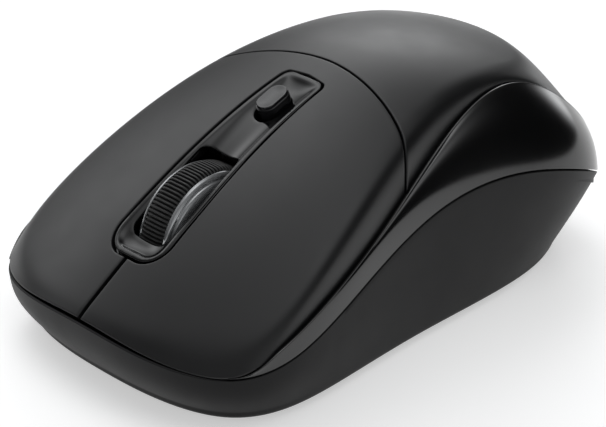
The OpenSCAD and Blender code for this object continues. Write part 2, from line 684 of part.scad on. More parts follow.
module capacitors() {
    color([0.2, 0.3, 0.6]) for (p = [[16.2, -14.8, 2.2], [-14.6, -15.4, 1.8], [-18.2, -13.2, 1.6]])
        translate([p[0], p[1], board_top]) {
            cylinder(r = p[2], h = 5, $fn = 32);
            translate([0, 0, 5]) cylinder(r1 = p[2], r2 = p[2] - 0.3, h = 0.3, $fn = 32);
        }
}
module power_switch_body() {
    color([0.6, 0.6, 0.62]) translate([-18, 15, floor_top]) difference() {
        rounded_box([6.4, 12, 3.8], 0.4);
        translate([0, 0, -1]) linear_extrude(height = 2.6) square([2.6, 7.4], center = true);
    }
}
module power_knob() {
    color([0.85, 0.85, 0.85]) translate([-18, 13.5, 0]) {
        translate([0, 0, 1.0]) rounded_box([2.9, 3.8, 0.7], 0.4);
        translate([0, 0, 1.6]) rounded_box([2.0, 2.6, 2.1], 0.3);
    }
}

// ---- battery bay, receiver, feet and screws ----

cell_x = 5.65;
cell_z = 8.1;
cell_r = 5.2;
bay_middle = 20.9;
bay_front = bay_middle - 23.8;
bay_rear = bay_middle + 23.8;
plate_w = 7;
// Outline of the bay, with its rear corners rounded more than its front ones
module bay_outline(half, front, rear, front_r, rear_r) {
    hull() for (s = [-1, 1]) {
        translate([s * (half - front_r), front + front_r]) circle(r = front_r, $fn = 32);
        translate([s * (half - rear_r), rear - rear_r]) circle(r = rear_r, $fn = 32);
    }
}
module battery_box() {
    color([0.12, 0.12, 0.12])
    translate([0, 0, floor_top]) difference() {
        linear_extrude(height = 12.4) bay_outline(12.7, bay_front - 1.2, bay_rear + 1.2, 1.5, 3.7);
        translate([0, 0, -1]) linear_extrude(height = 12.2) bay_outline(11.5, bay_front, bay_rear, 0.4, 2.5);
    }
}
module cell(flipped) {
    translate([0, bay_middle, 0]) rotate([flipped ? 90 : -90, 0, 0]) translate([0, 0, -22.2]) {
        cylinder(r = cell_r, h = 43.4, $fn = 48);
        cylinder(r = 1.9, h = 44.4, $fn = 32);
    }
}
module battery_cells() {
    color([0.75, 0.55, 0.2]) {
        translate([cell_x, 0, cell_z]) cell(false);
        translate([-cell_x, 0, cell_z]) cell(true);
    }
}
// Flat conical spring: three touching turns that get narrower
module coil() {
    for (i = [0:2]) translate([0, 0, 0.2 + 0.36 * i]) rotate_extrude($fn = 40)
        translate([3.0 - 0.4 * i, 0]) circle(r = 0.34, $fn = 12);
}
module spring_contacts() {
    color([0.8, 0.8, 0.78]) {
        translate([cell_x, bay_front + 0.3, cell_z]) rotate([-90, 0, 0]) coil();
        translate([cell_x - plate_w / 2, bay_front, cell_z - 4]) cube([plate_w, 0.45, 8]);
        translate([-cell_x, bay_rear - 0.3, cell_z]) rotate([90, 0, 0]) coil();
        translate([-cell_x - plate_w / 2, bay_rear - 0.45, cell_z - 4]) cube([plate_w, 0.45, 8]);
    }
}
module button_contacts() {
    color([0.8, 0.8, 0.78]) {
        for (q = [[cell_x, bay_rear, 1], [-cell_x, bay_front, -1]]) translate([q[0], q[1], cell_z]) {
            translate([-plate_w / 2, q[2] > 0 ? -0.45 : 0, -4]) cube([plate_w, 0.45, 8]);
            rotate([q[2] > 0 ? 90 : -90, 0, 0]) cylinder(r1 = 2.6, r2 = 2, h = 1.1, $fn = 32);
        }
    }
}
module battery_door() {
    color([0.2, 0.2, 0.21]) {
        translate([0, (door_y0 + door_y1) / 2, case_low])
            difference() {
                rounded_box([2 * door_half - 0.6, door_y1 - door_y0 - 0.6, 1.4], 1.8);
                for (i = [0:2]) translate([0, 13.4 + 1.6 * i, -0.6]) rounded_box([8, 0.7, 1], 0.3);
                translate([-20, -40 + hinge_y - (door_y0 + door_y1) / 2, -1]) cube([40, 40, 4]);
                for (s = [-1, 1]) translate([s * 14 - 5.2, -40 + hinge_y + 1.2 - (door_y0 + door_y1) / 2, -1])
                    cube([10.4, 40, 4]);
            }
        door_axis(8.8, 0.8);
        door_axis(11.6, 0.5);
        for (s = [-1, 1]) translate([s * 9.2 - 0.5, door_y0 + 5, case_low + 1.2]) cube([1, 28, 0.9]);
    }
}
module receiver_bay() {
    color([0.12, 0.12, 0.12]) translate([receiver_x, receiver_y, floor_top]) difference() {
        rounded_box([8.3, 16.3, 18.2], 1.2);
        translate([0, 0, -1]) rounded_box([6.9, 14.9, 18.2], 0.8);
    }
}
module receiver_cap() {
    color([0.04, 0.04, 0.045]) translate([receiver_x, receiver_y, case_low + 0.1]) rounded_box([6.3, 14.3,
        5.6], 1);
}
module receiver_plug() {
    color([0.78, 0.78, 0.8]) translate([receiver_x, receiver_y, case_low + 5.7]) difference() {
        rounded_box([4.5, 12, 12.2], 0.3);
        translate([1, 0, 4]) linear_extrude(height = 12) square([1.7, 11.2], center = true);
    }
}
module front_foot() {
    color([0.12, 0.12, 0.13]) translate([0, -37.5, 0]) rounded_box([34, 7, 0.9], 3.4);
}
module rear_foot() {
    color([0.12, 0.12, 0.13]) translate([0, 43.7, 0]) rounded_box([18, 5, 0.9], 2.4);
}
module case_screws() {
    color([0.35, 0.35, 0.37]) for (p = screw_places) translate([p[0], p[1], case_low + 0.3])
        difference() {
            union() {
                cylinder(r = 2.2, h = 1.3, $fn = 40);
                cylinder(r = 1.0, h = 17, $fn = 32);
            }
            translate([0, 0, -1]) linear_extrude(height = 1.7) { square([2.4, 0.6], center = true);
                square([0.6, 2.4], center = true); }
        }
}
module board_screws() {
    color([0.6, 0.6, 0.62]) for (p = board_holes) translate([p[0], p[1], board_low - 4]) difference() {
        union() {
            cylinder(r = 0.85, h = 5.4, $fn = 32);
            translate([0, 0, 5.2]) cylinder(r = 1.8, h = 1, $fn = 32);
        }
        translate([0, 0, 5.7]) linear_extrude(height = 2) { square([2, 0.5], center = true); square([0.5,
            2], center = true); }
    }
}

bottom_case();
side_trim();
palm_cover();
key_web();
left_key();
right_key();
top_frame();
centre_inlay();
small_button();
button_board();
button_switch_body();
button_switch_plunger();
wheel_hub();
wheel_tyre();
wheel_axle();
wheel_cradle();
wheel_bracket();
encoder_body();
wheel_switch_body();
wheel_switch_plunger();
main_board();
left_switch_body();
left_switch_plunger();
right_switch_body();
right_switch_plunger();
sensor_chip();
sensor_lens();
sensor_lamp();
radio_chip();
crystal_can();
capacitors();
power_switch_body();
power_knob();
battery_box();
battery_cells();
spring_contacts();
button_contacts();
battery_door();
receiver_bay();
receiver_plug();
receiver_cap();
front_foot();
rear_foot();
case_screws();
board_screws();
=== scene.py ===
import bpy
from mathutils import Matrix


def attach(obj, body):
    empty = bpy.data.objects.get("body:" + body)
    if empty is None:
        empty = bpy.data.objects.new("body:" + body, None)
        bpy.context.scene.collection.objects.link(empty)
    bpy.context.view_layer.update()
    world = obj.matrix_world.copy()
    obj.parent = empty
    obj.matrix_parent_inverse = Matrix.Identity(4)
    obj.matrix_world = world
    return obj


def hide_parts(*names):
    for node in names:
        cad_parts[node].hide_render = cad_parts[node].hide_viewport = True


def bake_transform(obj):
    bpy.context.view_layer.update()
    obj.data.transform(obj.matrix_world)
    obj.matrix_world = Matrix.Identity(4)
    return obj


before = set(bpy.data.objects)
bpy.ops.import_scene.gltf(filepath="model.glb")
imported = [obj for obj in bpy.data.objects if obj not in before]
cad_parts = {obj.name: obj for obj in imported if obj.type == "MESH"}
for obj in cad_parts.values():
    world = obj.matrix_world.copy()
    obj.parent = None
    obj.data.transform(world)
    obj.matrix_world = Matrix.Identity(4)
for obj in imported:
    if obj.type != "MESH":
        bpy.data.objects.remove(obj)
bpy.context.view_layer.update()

import math

import bmesh
import bpy
import numpy as np
from mathutils import Matrix, Vector
from mathutils.geometry import delaunay_2d_cdt

# Shapes are worked out in millimetres and turned into metres when a mesh is made.
MM = 0.001

# ---- design curves of the shell, the same ones as in the CAD source ----

# Driving sizes. A half outline has 11 control points on the +X side, from 0 in the middle of the
# front to 10 in the middle of the tail: 0 to 2 round the front, 3 to 7 follow the side, 8 to 10
# round the tail.
END_HALF = 31.0
WAIST_HALF = 26.5
SIDE_Y = -33.0
SIDE_STEP = 17.0
FRONT_REACH = 19.0
TAIL_REACH = 17.0
FRONT_SHARE = (0, 0.48, 0.9)
TAIL_SHARE = (0.75, 0.34, 0)
FRONT_POWER = 2.8
TAIL_POWER = 2.4
BASE_HEIGHT = 2.2
RIM_LOW = 9.5
RIM_RISE = 16.5
FRONT_SMILE = 3.4
FRONT_GAP = 1.2
BAND_HEIGHT = 4.0
BAND_RISE = 7.0
PEAK_AT = 5.7
PEAK_REACH = 3.4
EDGE_INSET = 10.0
EDGE_SHIFT = 9.5
BASE_FRONT_SHARE = 0.84
BASE_SIDE_SHARE = 0.97
BASE_TAIL_LOSS = 0.25
BASE_FRONT_BACK = 5.2
BASE_TAIL_BACK = 2.5
CREASE_FRONT_SHARE = 0.95
CREASE_TAIL_SHARE = 0.6
CREASE_TAIL_BACK = 11.5
WAIST_POWER = 1.4

# Long profile of the top: its highest point and how fast it falls both ways
CROWN_Y = 13.0
CROWN_HEIGHT = 41.0
FRONT_RADIUS = 60.0
TAIL_RADIUS = 70.0
SIDE_FALL = 0.0085
SHOULDER = np.array([0.84, 0.9])
LAST_T = 10.0
MIRROR = np.array([-1.0, 1.0, 1.0])

# Seams and plates
KEY_SLOT = 0.7
SEAM = 0.3
SKIN_INSET = 0.85
SKIN_WALL = 1.5
SKIN_ROUND = 0.22
HEM = 1.5
INLAY_FRONT = -41.0
INLAY_REAR = -2.2
INLAY_GAP = 0.38


def hump(k, centre, reach):
    """A smooth bump of height 1 at a centre, and 0 beyond its reach, both in control points."""
    return math.cos(math.pi / 2 * (k - centre) / reach) ** 2 if abs(k - centre) < reach else 0.0


def smooth(v):
    """A smooth step from 0 to 1."""
    u = max(0.0, min(1.0, v))
    return u * u * (3 - 2 * u)


def mix(a, b, k):
    return a + (b - a) * k


def rounding(share, power):
    return (1 - share ** power) ** (1 / power)


def rim_x(k):
    if k < 3:
        return END_HALF * FRONT_SHARE[k]
    if k > 7:
        return END_HALF * TAIL_SHARE[k - 8]
    return mix(WAIST_HALF, END_HALF, (abs(k - 5) / 2) ** WAIST_POWER * (0.9 if k > 5 else 1))


def rim_y(k):
    if k < 3:
        return SIDE_Y - FRONT_REACH * rounding(FRONT_SHARE[k], FRONT_POWER)
    if k > 7:
        return SIDE_Y + 4 * SIDE_STEP + TAIL_REACH * rounding(TAIL_SHARE[k - 8], TAIL_POWER)
    return SIDE_Y + SIDE_STEP * (k - 3)


def rim_z(k):
    return RIM_LOW + RIM_RISE * hump(k, PEAK_AT, PEAK_REACH) + FRONT_SMILE * hump(k, 0, 2)


def base_point(k):
    """The base is drawn in below the rim, most at the front and the tail."""
    part = mix(BASE_FRONT_SHARE, BASE_SIDE_SHARE, smooth((k - 1) / 3)) - BASE_TAIL_LOSS * smooth((k - 5) / 3)
    back = BASE_FRONT_BACK * (1 - smooth((k - 0.5) / 2.5)) - BASE_TAIL_BACK * smooth((k - 3) / 3)
    return rim_x(k) * part, rim_y(k) + back, BASE_HEIGHT


def edge_point(k):
    """Lower edge of the keys and the palm, above the trim band."""
    band = FRONT_GAP + BAND_HEIGHT * smooth((k - 2.4) / 1.8) + BAND_RISE * hump(k, 5.8, 2.1)
    shift = 0.3 * hump(k, 0, 3) + EDGE_SHIFT * hump(k, 5.7, 2.7) - 4 * hump(k, 3, 1)
    return (rim_x(k) - 0.3 * hump(k, 2.5, 2) - EDGE_INSET * hump(k, 6.3, 2.6),
            rim_y(k) + shift, rim_z(k) + band)


def crease_point(k):
    """Where the top would meet the side if it weren't rounded."""
    back = 2.2 + 2.5 * hump(k, 5.2, 1.5) - CREASE_TAIL_BACK * smooth((k - 6.4) / 2)
    share = mix(CREASE_FRONT_SHARE, CREASE_TAIL_SHARE, smooth((k - 3.5) / 3))
    return rim_x(k) * share, rim_y(k) + back, 0.0


POINTS = range(11)
BASE = np.array([base_point(k) for k in POINTS], float)
RIM = np.array([(rim_x(k), rim_y(k), rim_z(k)) for k in POINTS], float)
EDGE = np.array([edge_point(k) for k in POINTS], float)
CREASE = np.array([crease_point(k) for k in POINTS], float)


def weights(u):
    """Uniform cubic B-spline weights."""
    return np.stack([(1 - u) ** 3, 3 * u ** 3 - 6 * u ** 2 + 4,
                     -3 * u ** 3 + 3 * u ** 2 + 3 * u + 1, u ** 3], -1) / 6


def spline(points, t):
    """Points of a half outline at the places t, 0 at the front and 10 at the tail."""
    t = np.atleast_1d(np.asarray(t, float))
    ends = np.vstack([points[1] * MIRROR, points, points[-2] * MIRROR])
    i = np.clip(np.floor(t).astype(int), 0, len(points) - 2)
    b = weights(t - i)
    return sum(b[:, k, None] * ends[i + k] for k in range(4))


def inward(points, t):
    """Level unit vector that points inwards from a half outline."""
    d = spline(points, np.minimum(t + 0.02, LAST_T)) - spline(points, np.maximum(t - 0.02, 0))
    m = np.hypot(d[:, 0], d[:, 1])
    return np.stack([-d[:, 1] / m, d[:, 0] / m, 0 * m], -1)


def ridge(y):
    """Height of the top along the middle line."""
    d = np.asarray(y, float) - CROWN_Y
    return CROWN_HEIGHT - np.where(d < 0, np.hypot(FRONT_RADIUS, d) - FRONT_RADIUS, d * d / (2 * TAIL_RADIUS))


def top_height(x, y):
    return ridge(y) - SIDE_FALL * np.asarray(x, float) ** 2


def top_slope(x, y):
    h = 0.01
    return -2 * SIDE_FALL * np.asarray(x, float), (ridge(y + h) - ridge(y - h)) / (2 * h)


def unit(v):
    return v / np.maximum(np.linalg.norm(v, axis=-1, keepdims=True), 1e-12)


def skin(t, s):
    """A point of the top skin. s is 0 at its edge, 1 at the shoulder and 2 on the middle line;
    below 0 it runs straight on past the edge, at about 1 mm for each 0.1."""
    t, s = np.broadcast_arrays(np.asarray(t, float), np.asarray(s, float))
    shape = t.shape
    t = t.ravel()
    s = s.ravel()
    c = spline(CREASE, t)
    k = spline(EDGE, t) + SKIN_INSET * inward(EDGE, t)
    exy = c[:, :2] * SHOULDER
    e = np.column_stack([exy, top_height(exy[:, 0], exy[:, 1])])
    gx, gy = top_slope(exy[:, 0], exy[:, 1])
    dxy = c[:, :2] - exy
    d = np.column_stack([c[:, :2], e[:, 2] + gx * dxy[:, 0] + gy * dxy[:, 1]])
    a = (0.9 + (0.72 - 0.9) * np.clip((t - 4.5) / 2.5, 0, 1))[:, None]
    p1 = k + a * (d - k)
    p2 = e + a * (d - e)
    u = np.clip(s, 0, 1)[:, None]
    bevel = (1 - u) ** 3 * k + 3 * u * (1 - u) ** 2 * p1 + 3 * u * u * (1 - u) * p2 + u ** 3 * e
    v = np.clip(s - 1, 0, 1)
    x = exy[:, 0] * (1 - v)
    y = exy[:, 1] * (1 - 0.4 * v)
    inner = np.column_stack([x, y, top_height(x, y)])
    past = k + 10 * unit(p1 - k) * np.minimum(s, 0)[:, None]
    out = np.where(s[:, None] < 0, past, np.where(s[:, None] < 1, bevel, inner))
    return out.reshape(shape + (3,))


def skin_normal(t, s):
    t, s = np.broadcast_arrays(np.asarray(t, float), np.asarray(s, float))
    h = 0.002
    dt = skin(np.minimum(t + h, LAST_T), s) - skin(np.maximum(t - h, 0), s)
    ds = skin(t, s + h) - skin(t, s - h)
    n = unit(np.cross(dt, ds))
    p = skin(t, s)
    gx, gy = top_slope(p[..., 0], p[..., 1])
    top = unit(np.stack([-gx, -gy, np.ones_like(gx)], -1))
    n = np.where((s >= 1)[..., None], top, n)
    level = np.abs(p[..., 0]) < 1e-6
    n[level, 0] = 0
    return unit(n)


# ---- seams, as distances in plan ----

def hull_gap(x, y, circles):
    """Signed distance to the outline round some circles (cx, cy, r), less than 0 inside."""
    a = np.linspace(0, 2 * np.pi, 1440, endpoint=False)
    n = np.stack([np.cos(a), np.sin(a)])
    reach = np.max([cx * n[0] + cy * n[1] + r for cx, cy, r in circles], axis=0)
    p = np.stack([np.ravel(x), np.ravel(y)], -1)
    out = np.empty(len(p))
    for i in range(0, len(p), 4000):
        out[i:i + 4000] = (p[i:i + 4000] @ n - reach).max(1)
    return out.reshape(np.shape(x))


def both_sides(circles):
    return circles + [(-cx, cy, r) for cx, cy, r in circles]


INLAY_CIRCLES = both_sides([(1.75, INLAY_FRONT + 4, 4), (2.65, INLAY_REAR - 1.6, 1.6)])
ARC_W = 27.0
ARC_H = 11.0
ARC_Y = -8.0
ARC_POWER = 1.75


def arc_gap(x, y):
    """Distance in front of the curved seam between the keys and the palm."""
    u = np.maximum(np.abs(x) / ARC_W, 1e-4)
    v = np.maximum((y - ARC_Y) / ARC_H, 1e-4)
    f = u ** ARC_POWER + v ** ARC_POWER - 1
    fx = ARC_POWER * u ** (ARC_POWER - 1) / ARC_W
    fy = ARC_POWER * v ** (ARC_POWER - 1) / ARC_H
    return -f / np.hypot(fx, fy)


def solve(f, lo, hi, steps=40):
    """Bisects f, elementwise, between lo and hi."""
    lo = np.array(lo, float)
    hi = np.array(hi, float)
    sign = np.sign(f(lo))
    for _ in range(steps):
        mid = (lo + hi) / 2
        same = np.sign(f(mid)) == sign
        lo = np.where(same, mid, lo)
        hi = np.where(same, hi, mid)
    return (lo + hi) / 2


def even(ts, ss, count):
    """Resamples a path in (t, s) to count points spaced evenly on the skin."""
    p = skin(ts, ss)
    d = np.concatenate([[0], np.cumsum(np.linalg.norm(np.diff(p, axis=0), axis=1))])
    w = np.linspace(0, d[-1], count)
    return np.interp(w, d, ts), np.interp(w, d, ss), d[-1]


def coons(bottom, top, left, right):
    """Fills a four-sided patch in (t, s). bottom and top run left to right, left and right run up."""
    n = len(bottom[0])
    m = len(left[0])
    u = np.linspace(0, 1, n)[:, None]
    v = np.linspace(0, 1, m)[None, :]
    grids = []
    for k in range(2):
        b, c, l, r = bottom[k][:, None], top[k][:, None], left[k][None, :], right[k][None, :]
        grids.append((1 - v) * b + v * c + (1 - u) * l + u * r
                     - (1 - u) * (1 - v) * b[0] - u * (1 - v) * b[-1]
                     - (1 - u) * v * c[0] - u * v * c[-1])
    return grids


def hem_s(t):
    """How far below the edge a plate runs on: most where its side is steep."""
    k = skin(t, 0.0 * np.asarray(t))
    k1 = skin(t, 0.02 + 0.0 * np.asarray(t))
    steep = np.clip(unit(k1 - k)[..., 2], 0, 1)
    return -0.1 * HEM * steep ** 2


# ---- meshes ----

def grid_faces(n, m, closed=False):
    """Quads of an n by m grid of points, numbered i * m + j."""
    i, j = np.meshgrid(np.arange(n if closed else n - 1), np.arange(m - 1), indexing="ij")
    a = i * m + j
    b = ((i + 1) % n) * m + j
    return np.stack([a, b, b + 1, a + 1], -1).reshape(-1, 4)


def mirror_join(p, n, faces):
    """Adds the mirror image in X and joins the two along the middle line."""
    middle = np.abs(p[:, 0]) < 1e-5
    index = np.full(len(p), -1)
    index[middle] = np.flatnonzero(middle)
    index[~middle] = len(p) + np.arange((~middle).sum())
    p2 = np.vstack([p, p[~middle] * MIRROR])
    n2 = np.vstack([n, n[~middle] * MIRROR])
    flipped = [tuple(index[v] for v in reversed(f)) for f in faces]
    return p2, n2, [tuple(f) for f in faces] + flipped


def boundary_loops(faces):
    """Rings of boundary points, each walked with its faces on the left."""
    used = {}
    for f in faces:
        for a, b in zip(f, list(f[1:]) + [f[0]]):
            used[(int(a), int(b))] = True
    nxt = {a: b for a, b in used if (b, a) not in used}
    loops = []
    while nxt:
        a, b = nxt.popitem()
        loop = [a]
        while b != a:
            loop.append(b)
            b = nxt.pop(b)
        loops.append(loop)
    return loops


def weld(faces, p):
    """Joins points that lie on each other and drops faces that this closes up."""
    key = np.round(p * 1e4).astype(np.int64)
    _, first, back = np.unique(key, axis=0, return_index=True, return_inverse=True)
    back = back.ravel()
    out = []
    for f in faces:
        g = []
        for v in f:
            w = int(back[v])
            if w not in g:
                g.append(w)
        if len(g) > 2:
            out.append(tuple(g))
    return out, p[first]


def shell(p, n, faces, round_r, depth, steps=4, flat_middle=False, bottom=None):
    """A closed plate: the surface, a rounded edge of radius round_r, a wall, and a back."""
    pts = [p]
    out = [tuple(int(v) for v in f) for f in faces]
    count = len(p)
    back = p - n * depth if bottom is None else bottom(p)
    pts.append(back)
    out += [tuple(int(v) + count for v in reversed(f)) for f in out]
    total = 2 * count
    for loop in boundary_loops(faces):
        q = p[loop]
        m = n[loop]
        nxt = np.roll(q, -1, axis=0)
        side = unit(np.cross(nxt - q, (m + np.roll(m, -1, axis=0)) / 2))
        if flat_middle:
            on = (np.abs(q[:, 0]) < 1e-5) & (np.abs(nxt[:, 0]) < 1e-5)
            side[on] = 0
        before = np.roll(side, 1, axis=0)
        dot = (side * before).sum(1)
        both = (np.linalg.norm(side, axis=1) > 0.5) & (np.linalg.norm(before, axis=1) > 0.5)
        out_dir = (side + before) / np.where(both, np.maximum(1 + dot, 0.45), 1)[:, None]
        if flat_middle:
            out_dir[np.abs(q[:, 0]) < 1e-5, 0] = 0
        rows = [loop]
        for k in range(1, steps + 1):
            a = math.pi / 2 * k / steps
            pts.append(q + out_dir * round_r * math.sin(a) - m * round_r * (1 - math.cos(a)))
            rows.append(list(range(total, total + len(loop))))
            total += len(loop)
        pts.append(back[loop] + out_dir * round_r)
        rows.append(list(range(total, total + len(loop))))
        total += len(loop)
        rows.append([v + count for v in loop])
        for ra, rb in zip(rows, rows[1:]):
            for i in range(len(loop)):
                j = (i + 1) % len(loop)
                out.append((ra[j], ra[i], rb[i], rb[j]))
    faces, pts = weld(out, np.vstack(pts))
    return pts, faces


def make(name, pts, faces, material, body, replaces=(), smooth_angle=35):
    """A finished mesh object in metres, shaded smooth up to an angle, riding on a body."""
    mesh = bpy.data.meshes.new(name)
    mesh.from_pydata((np.asarray(pts) * MM).tolist(), [], [list(map(int, f)) for f in faces])
    mesh.validate()
    bm = bmesh.new()
    bm.from_mesh(mesh)
    bmesh.ops.recalc_face_normals(bm, faces=bm.faces)
    limit = math.radians(smooth_angle)
    for f in bm.faces:
        f.smooth = True
    for e in bm.edges:
        e.smooth = len(e.link_faces) == 2 and e.calc_face_angle(0) < limit
    bm.to_mesh(mesh)
    bm.free()
    obj = bpy.data.objects.new(name, mesh)
    bpy.context.scene.collection.objects.link(obj)
    mesh.materials.append(material)
    if body:
        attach(obj, body)
    if replaces:
        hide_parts(*replaces)
    return obj


def loft(rows, closed_rows=False, cap=True):
    """Joins rows of points, each a closed section, into one solid."""
    n = len(rows)
    m = len(rows[0])
    faces = []
    for i in range(n if closed_rows else n - 1):
        k = (i + 1) % n
        for j in range(m):
            l = (j + 1) % m
            faces.append((i * m + j, i * m + l, k * m + l, k * m + j))
    if cap and not closed_rows:
        faces.append(tuple(range(m - 1, -1, -1)))
        faces.append(tuple(range((n - 1) * m, n * m)))
    faces, pts = weld(faces, np.vstack(rows))
    return pts, faces


def lathe(profile, centre, count=160, ripple=None):
    """Turns a closed (x, radius) profile about a level axis through centre."""
    rows = []
    for i in range(count):
        a = 2 * math.pi * i / count
        row = []
        for x, r in profile:
            rr = r if ripple is None else ripple(x, r, i)
            row.append((centre[0] + x, centre[1] + rr * math.cos(a), centre[2] + rr * math.sin(a)))
        rows.append(np.array(row))
    return loft(rows, closed_rows=True)


def hull_outline(circles, grow, spacing):
    """Points round the outline of some circles, grown by a distance, spaced evenly."""
    a = np.linspace(0, 2 * np.pi, 2880, endpoint=False)
    n = np.stack([np.cos(a), np.sin(a)], -1)
    reach = np.array([[cx * v[0] + cy * v[1] + r for cx, cy, r in circles] for v in n])
    which = reach.argmax(1)
    c = np.array(circles)
    p = c[which, :2] + n * (c[which, 2:3] + grow)
    p = np.vstack([p, p[:1]])
    d = np.concatenate([[0], np.cumsum(np.linalg.norm(np.diff(p, axis=0), axis=1))])
    count = max(16, int(d[-1] / spacing) // 4 * 4)
    w = np.linspace(0, d[-1], count, endpoint=False)
    return np.stack([np.interp(w, d, p[:, 0]), np.interp(w, d, p[:, 1])], -1)


def rounded_rect(cx, cy, w, h, r):
    """Four circles whose hull is a rectangle with round corners."""
    x, y = w / 2 - r, h / 2 - r
    return [(cx + sx * x, cy + sy * y, r) for sx in (-1, 1) for sy in (-1, 1)]


def plate(outline, holes, height, round_r, depth, spacing, bottom=None, steps=4):
    """A plate over a plan outline, less its holes, with its top at height(x, y).
    outline and holes are lists of circles; the plate's edges are rounded."""
    rings = [hull_outline(outline, -round_r, spacing)]
    rings += [hull_outline(h, round_r, spacing)[::-1] for h in holes]
    flat = np.vstack(rings)
    edges = []
    start = 0
    for ring in rings:
        k = len(ring)
        edges += [(start + i, start + (i + 1) % k) for i in range(k)]
        start += k
    lo = flat.min(0)
    hi = flat.max(0)
    gx, gy = np.meshgrid(np.arange(lo[0], hi[0], spacing), np.arange(lo[1], hi[1], spacing * 0.866))
    gx = gx + (np.arange(gx.shape[0]) % 2)[:, None] * spacing / 2
    gx, gy = gx.ravel(), gy.ravel()
    room = 0.6 * spacing
    keep = hull_gap(gx, gy, outline) < -round_r - room
    for h in holes:
        keep &= hull_gap(gx, gy, h) > round_r + room
    pts2 = np.vstack([flat, np.stack([gx[keep], gy[keep]], -1)])
    got = delaunay_2d_cdt([Vector(p) for p in pts2], edges, [], 0, 1e-5)
    xy = np.array([tuple(v) for v in got[0]])
    tris = np.array([list(f) for f in got[2]])
    mid = xy[tris].mean(1)
    inside = hull_gap(mid[:, 0], mid[:, 1], outline) < -round_r + 1e-3
    for h in holes:
        inside &= hull_gap(mid[:, 0], mid[:, 1], h) > round_r - 1e-3
    tris = tris[inside]
    used = np.unique(tris)
    index = np.full(len(xy), -1)
    index[used] = np.arange(len(used))
    xy = xy[used]
    tris = index[tris]
    p0, p1, p2 = xy[tris[:, 0]], xy[tris[:, 1]], xy[tris[:, 2]]
    area = (p1[:, 0] - p0[:, 0]) * (p2[:, 1] - p0[:, 1]) - (p1[:, 1] - p0[:, 1]) * (p2[:, 0] - p0[:, 0])
    tris = np.where(area[:, None] > 0, tris, tris[:, ::-1])
    tris = tris[np.abs(area) > 1e-9]
    z = height(xy[:, 0], xy[:, 1])
    h = 0.02
    sx = (height(xy[:, 0] + h, xy[:, 1]) - height(xy[:, 0] - h, xy[:, 1])) / (2 * h)
    sy = (height(xy[:, 0], xy[:, 1] + h) - height(xy[:, 0], xy[:, 1] - h)) / (2 * h)
    n = unit(np.stack([-sx, -sy, np.ones_like(sx)], -1))
    p = np.column_stack([xy, z])
    return shell(p, n, [tuple(t) for t in tris], round_r, depth, steps=steps, bottom=bottom)


# ---- materials ----

def node(tree, kind, **inputs):
    """Adds a shader node and sets inputs and properties by name."""
    n = tree.nodes.new(kind)
    for key, value in inputs.items():
        name = key.replace("_", " ")
        if name in n.inputs:
            n.inputs[name].default_value = value
        else:
            setattr(n, key, value)
    return n


def surface(name, color, rough, metallic=0.0, grain=0.12, bump=0.02, rough_spread=0.06,
            mottle=0.12, patch=6.0, streak=None, **sockets):
    """A moulded, rubbed or rolled surface: grain in the bump, patches in colour and roughness.
    grain and patch are sizes in millimetres, bump is the height of the grain in millimetres."""
    mat = bpy.data.materials.new(name)
    mat.use_nodes = True
    tree = mat.node_tree
    bsdf = tree.nodes["Principled BSDF"]
    link = tree.links.new
    coords = node(tree, "ShaderNodeTexCoord")
    place = node(tree, "ShaderNodeMapping")
    place.inputs["Scale"].default_value = [1000.0 * s for s in (streak or (1, 1, 1))]
    link(coords.outputs["Object"], place.inputs["Vector"])
    fine = node(tree, "ShaderNodeTexNoise", Scale=1 / grain, Detail=3.0, Roughness=0.6)
    wide = node(tree, "ShaderNodeTexNoise", Scale=1 / patch, Detail=4.0, Roughness=0.55)
    for n in (fine, wide):
        link(place.outputs["Vector"], n.inputs["Vector"])
    ramp = node(tree, "ShaderNodeMix", data_type="RGBA")
    dark = [c * (1 - mottle) for c in color] + [1]
    light = [min(1, c * (1 + mottle)) for c in color] + [1]
    ramp.inputs[6].default_value = dark
    ramp.inputs[7].default_value = light
    blend = node(tree, "ShaderNodeMath", operation="MULTIPLY_ADD")
    blend.inputs[1].default_value = 0.5
    link(fine.outputs["Fac"], blend.inputs[0])
    half = node(tree, "ShaderNodeMath", operation="MULTIPLY")
    half.inputs[1].default_value = 0.5
    link(wide.outputs["Fac"], half.inputs[0])
    link(half.outputs[0], blend.inputs[2])
    link(blend.outputs[0], ramp.inputs[0])
    link(ramp.outputs[2], bsdf.inputs["Base Color"])
    spread = node(tree, "ShaderNodeMapRange")
    spread.inputs["To Min"].default_value = max(0.01, rough - rough_spread)
    spread.inputs["To Max"].default_value = min(1.0, rough + rough_spread)
    link(wide.outputs["Fac"], spread.inputs["Value"])
    link(spread.outputs["Result"], bsdf.inputs["Roughness"])
    relief = node(tree, "ShaderNodeBump", Strength=1.0, Distance=bump * MM)
    link(fine.outputs["Fac"], relief.inputs["Height"])
    link(relief.outputs["Normal"], bsdf.inputs["Normal"])
    bsdf.inputs["Metallic"].default_value = metallic
    for key, value in sockets.items():
        bsdf.inputs[key.replace("_", " ")].default_value = value
    return mat


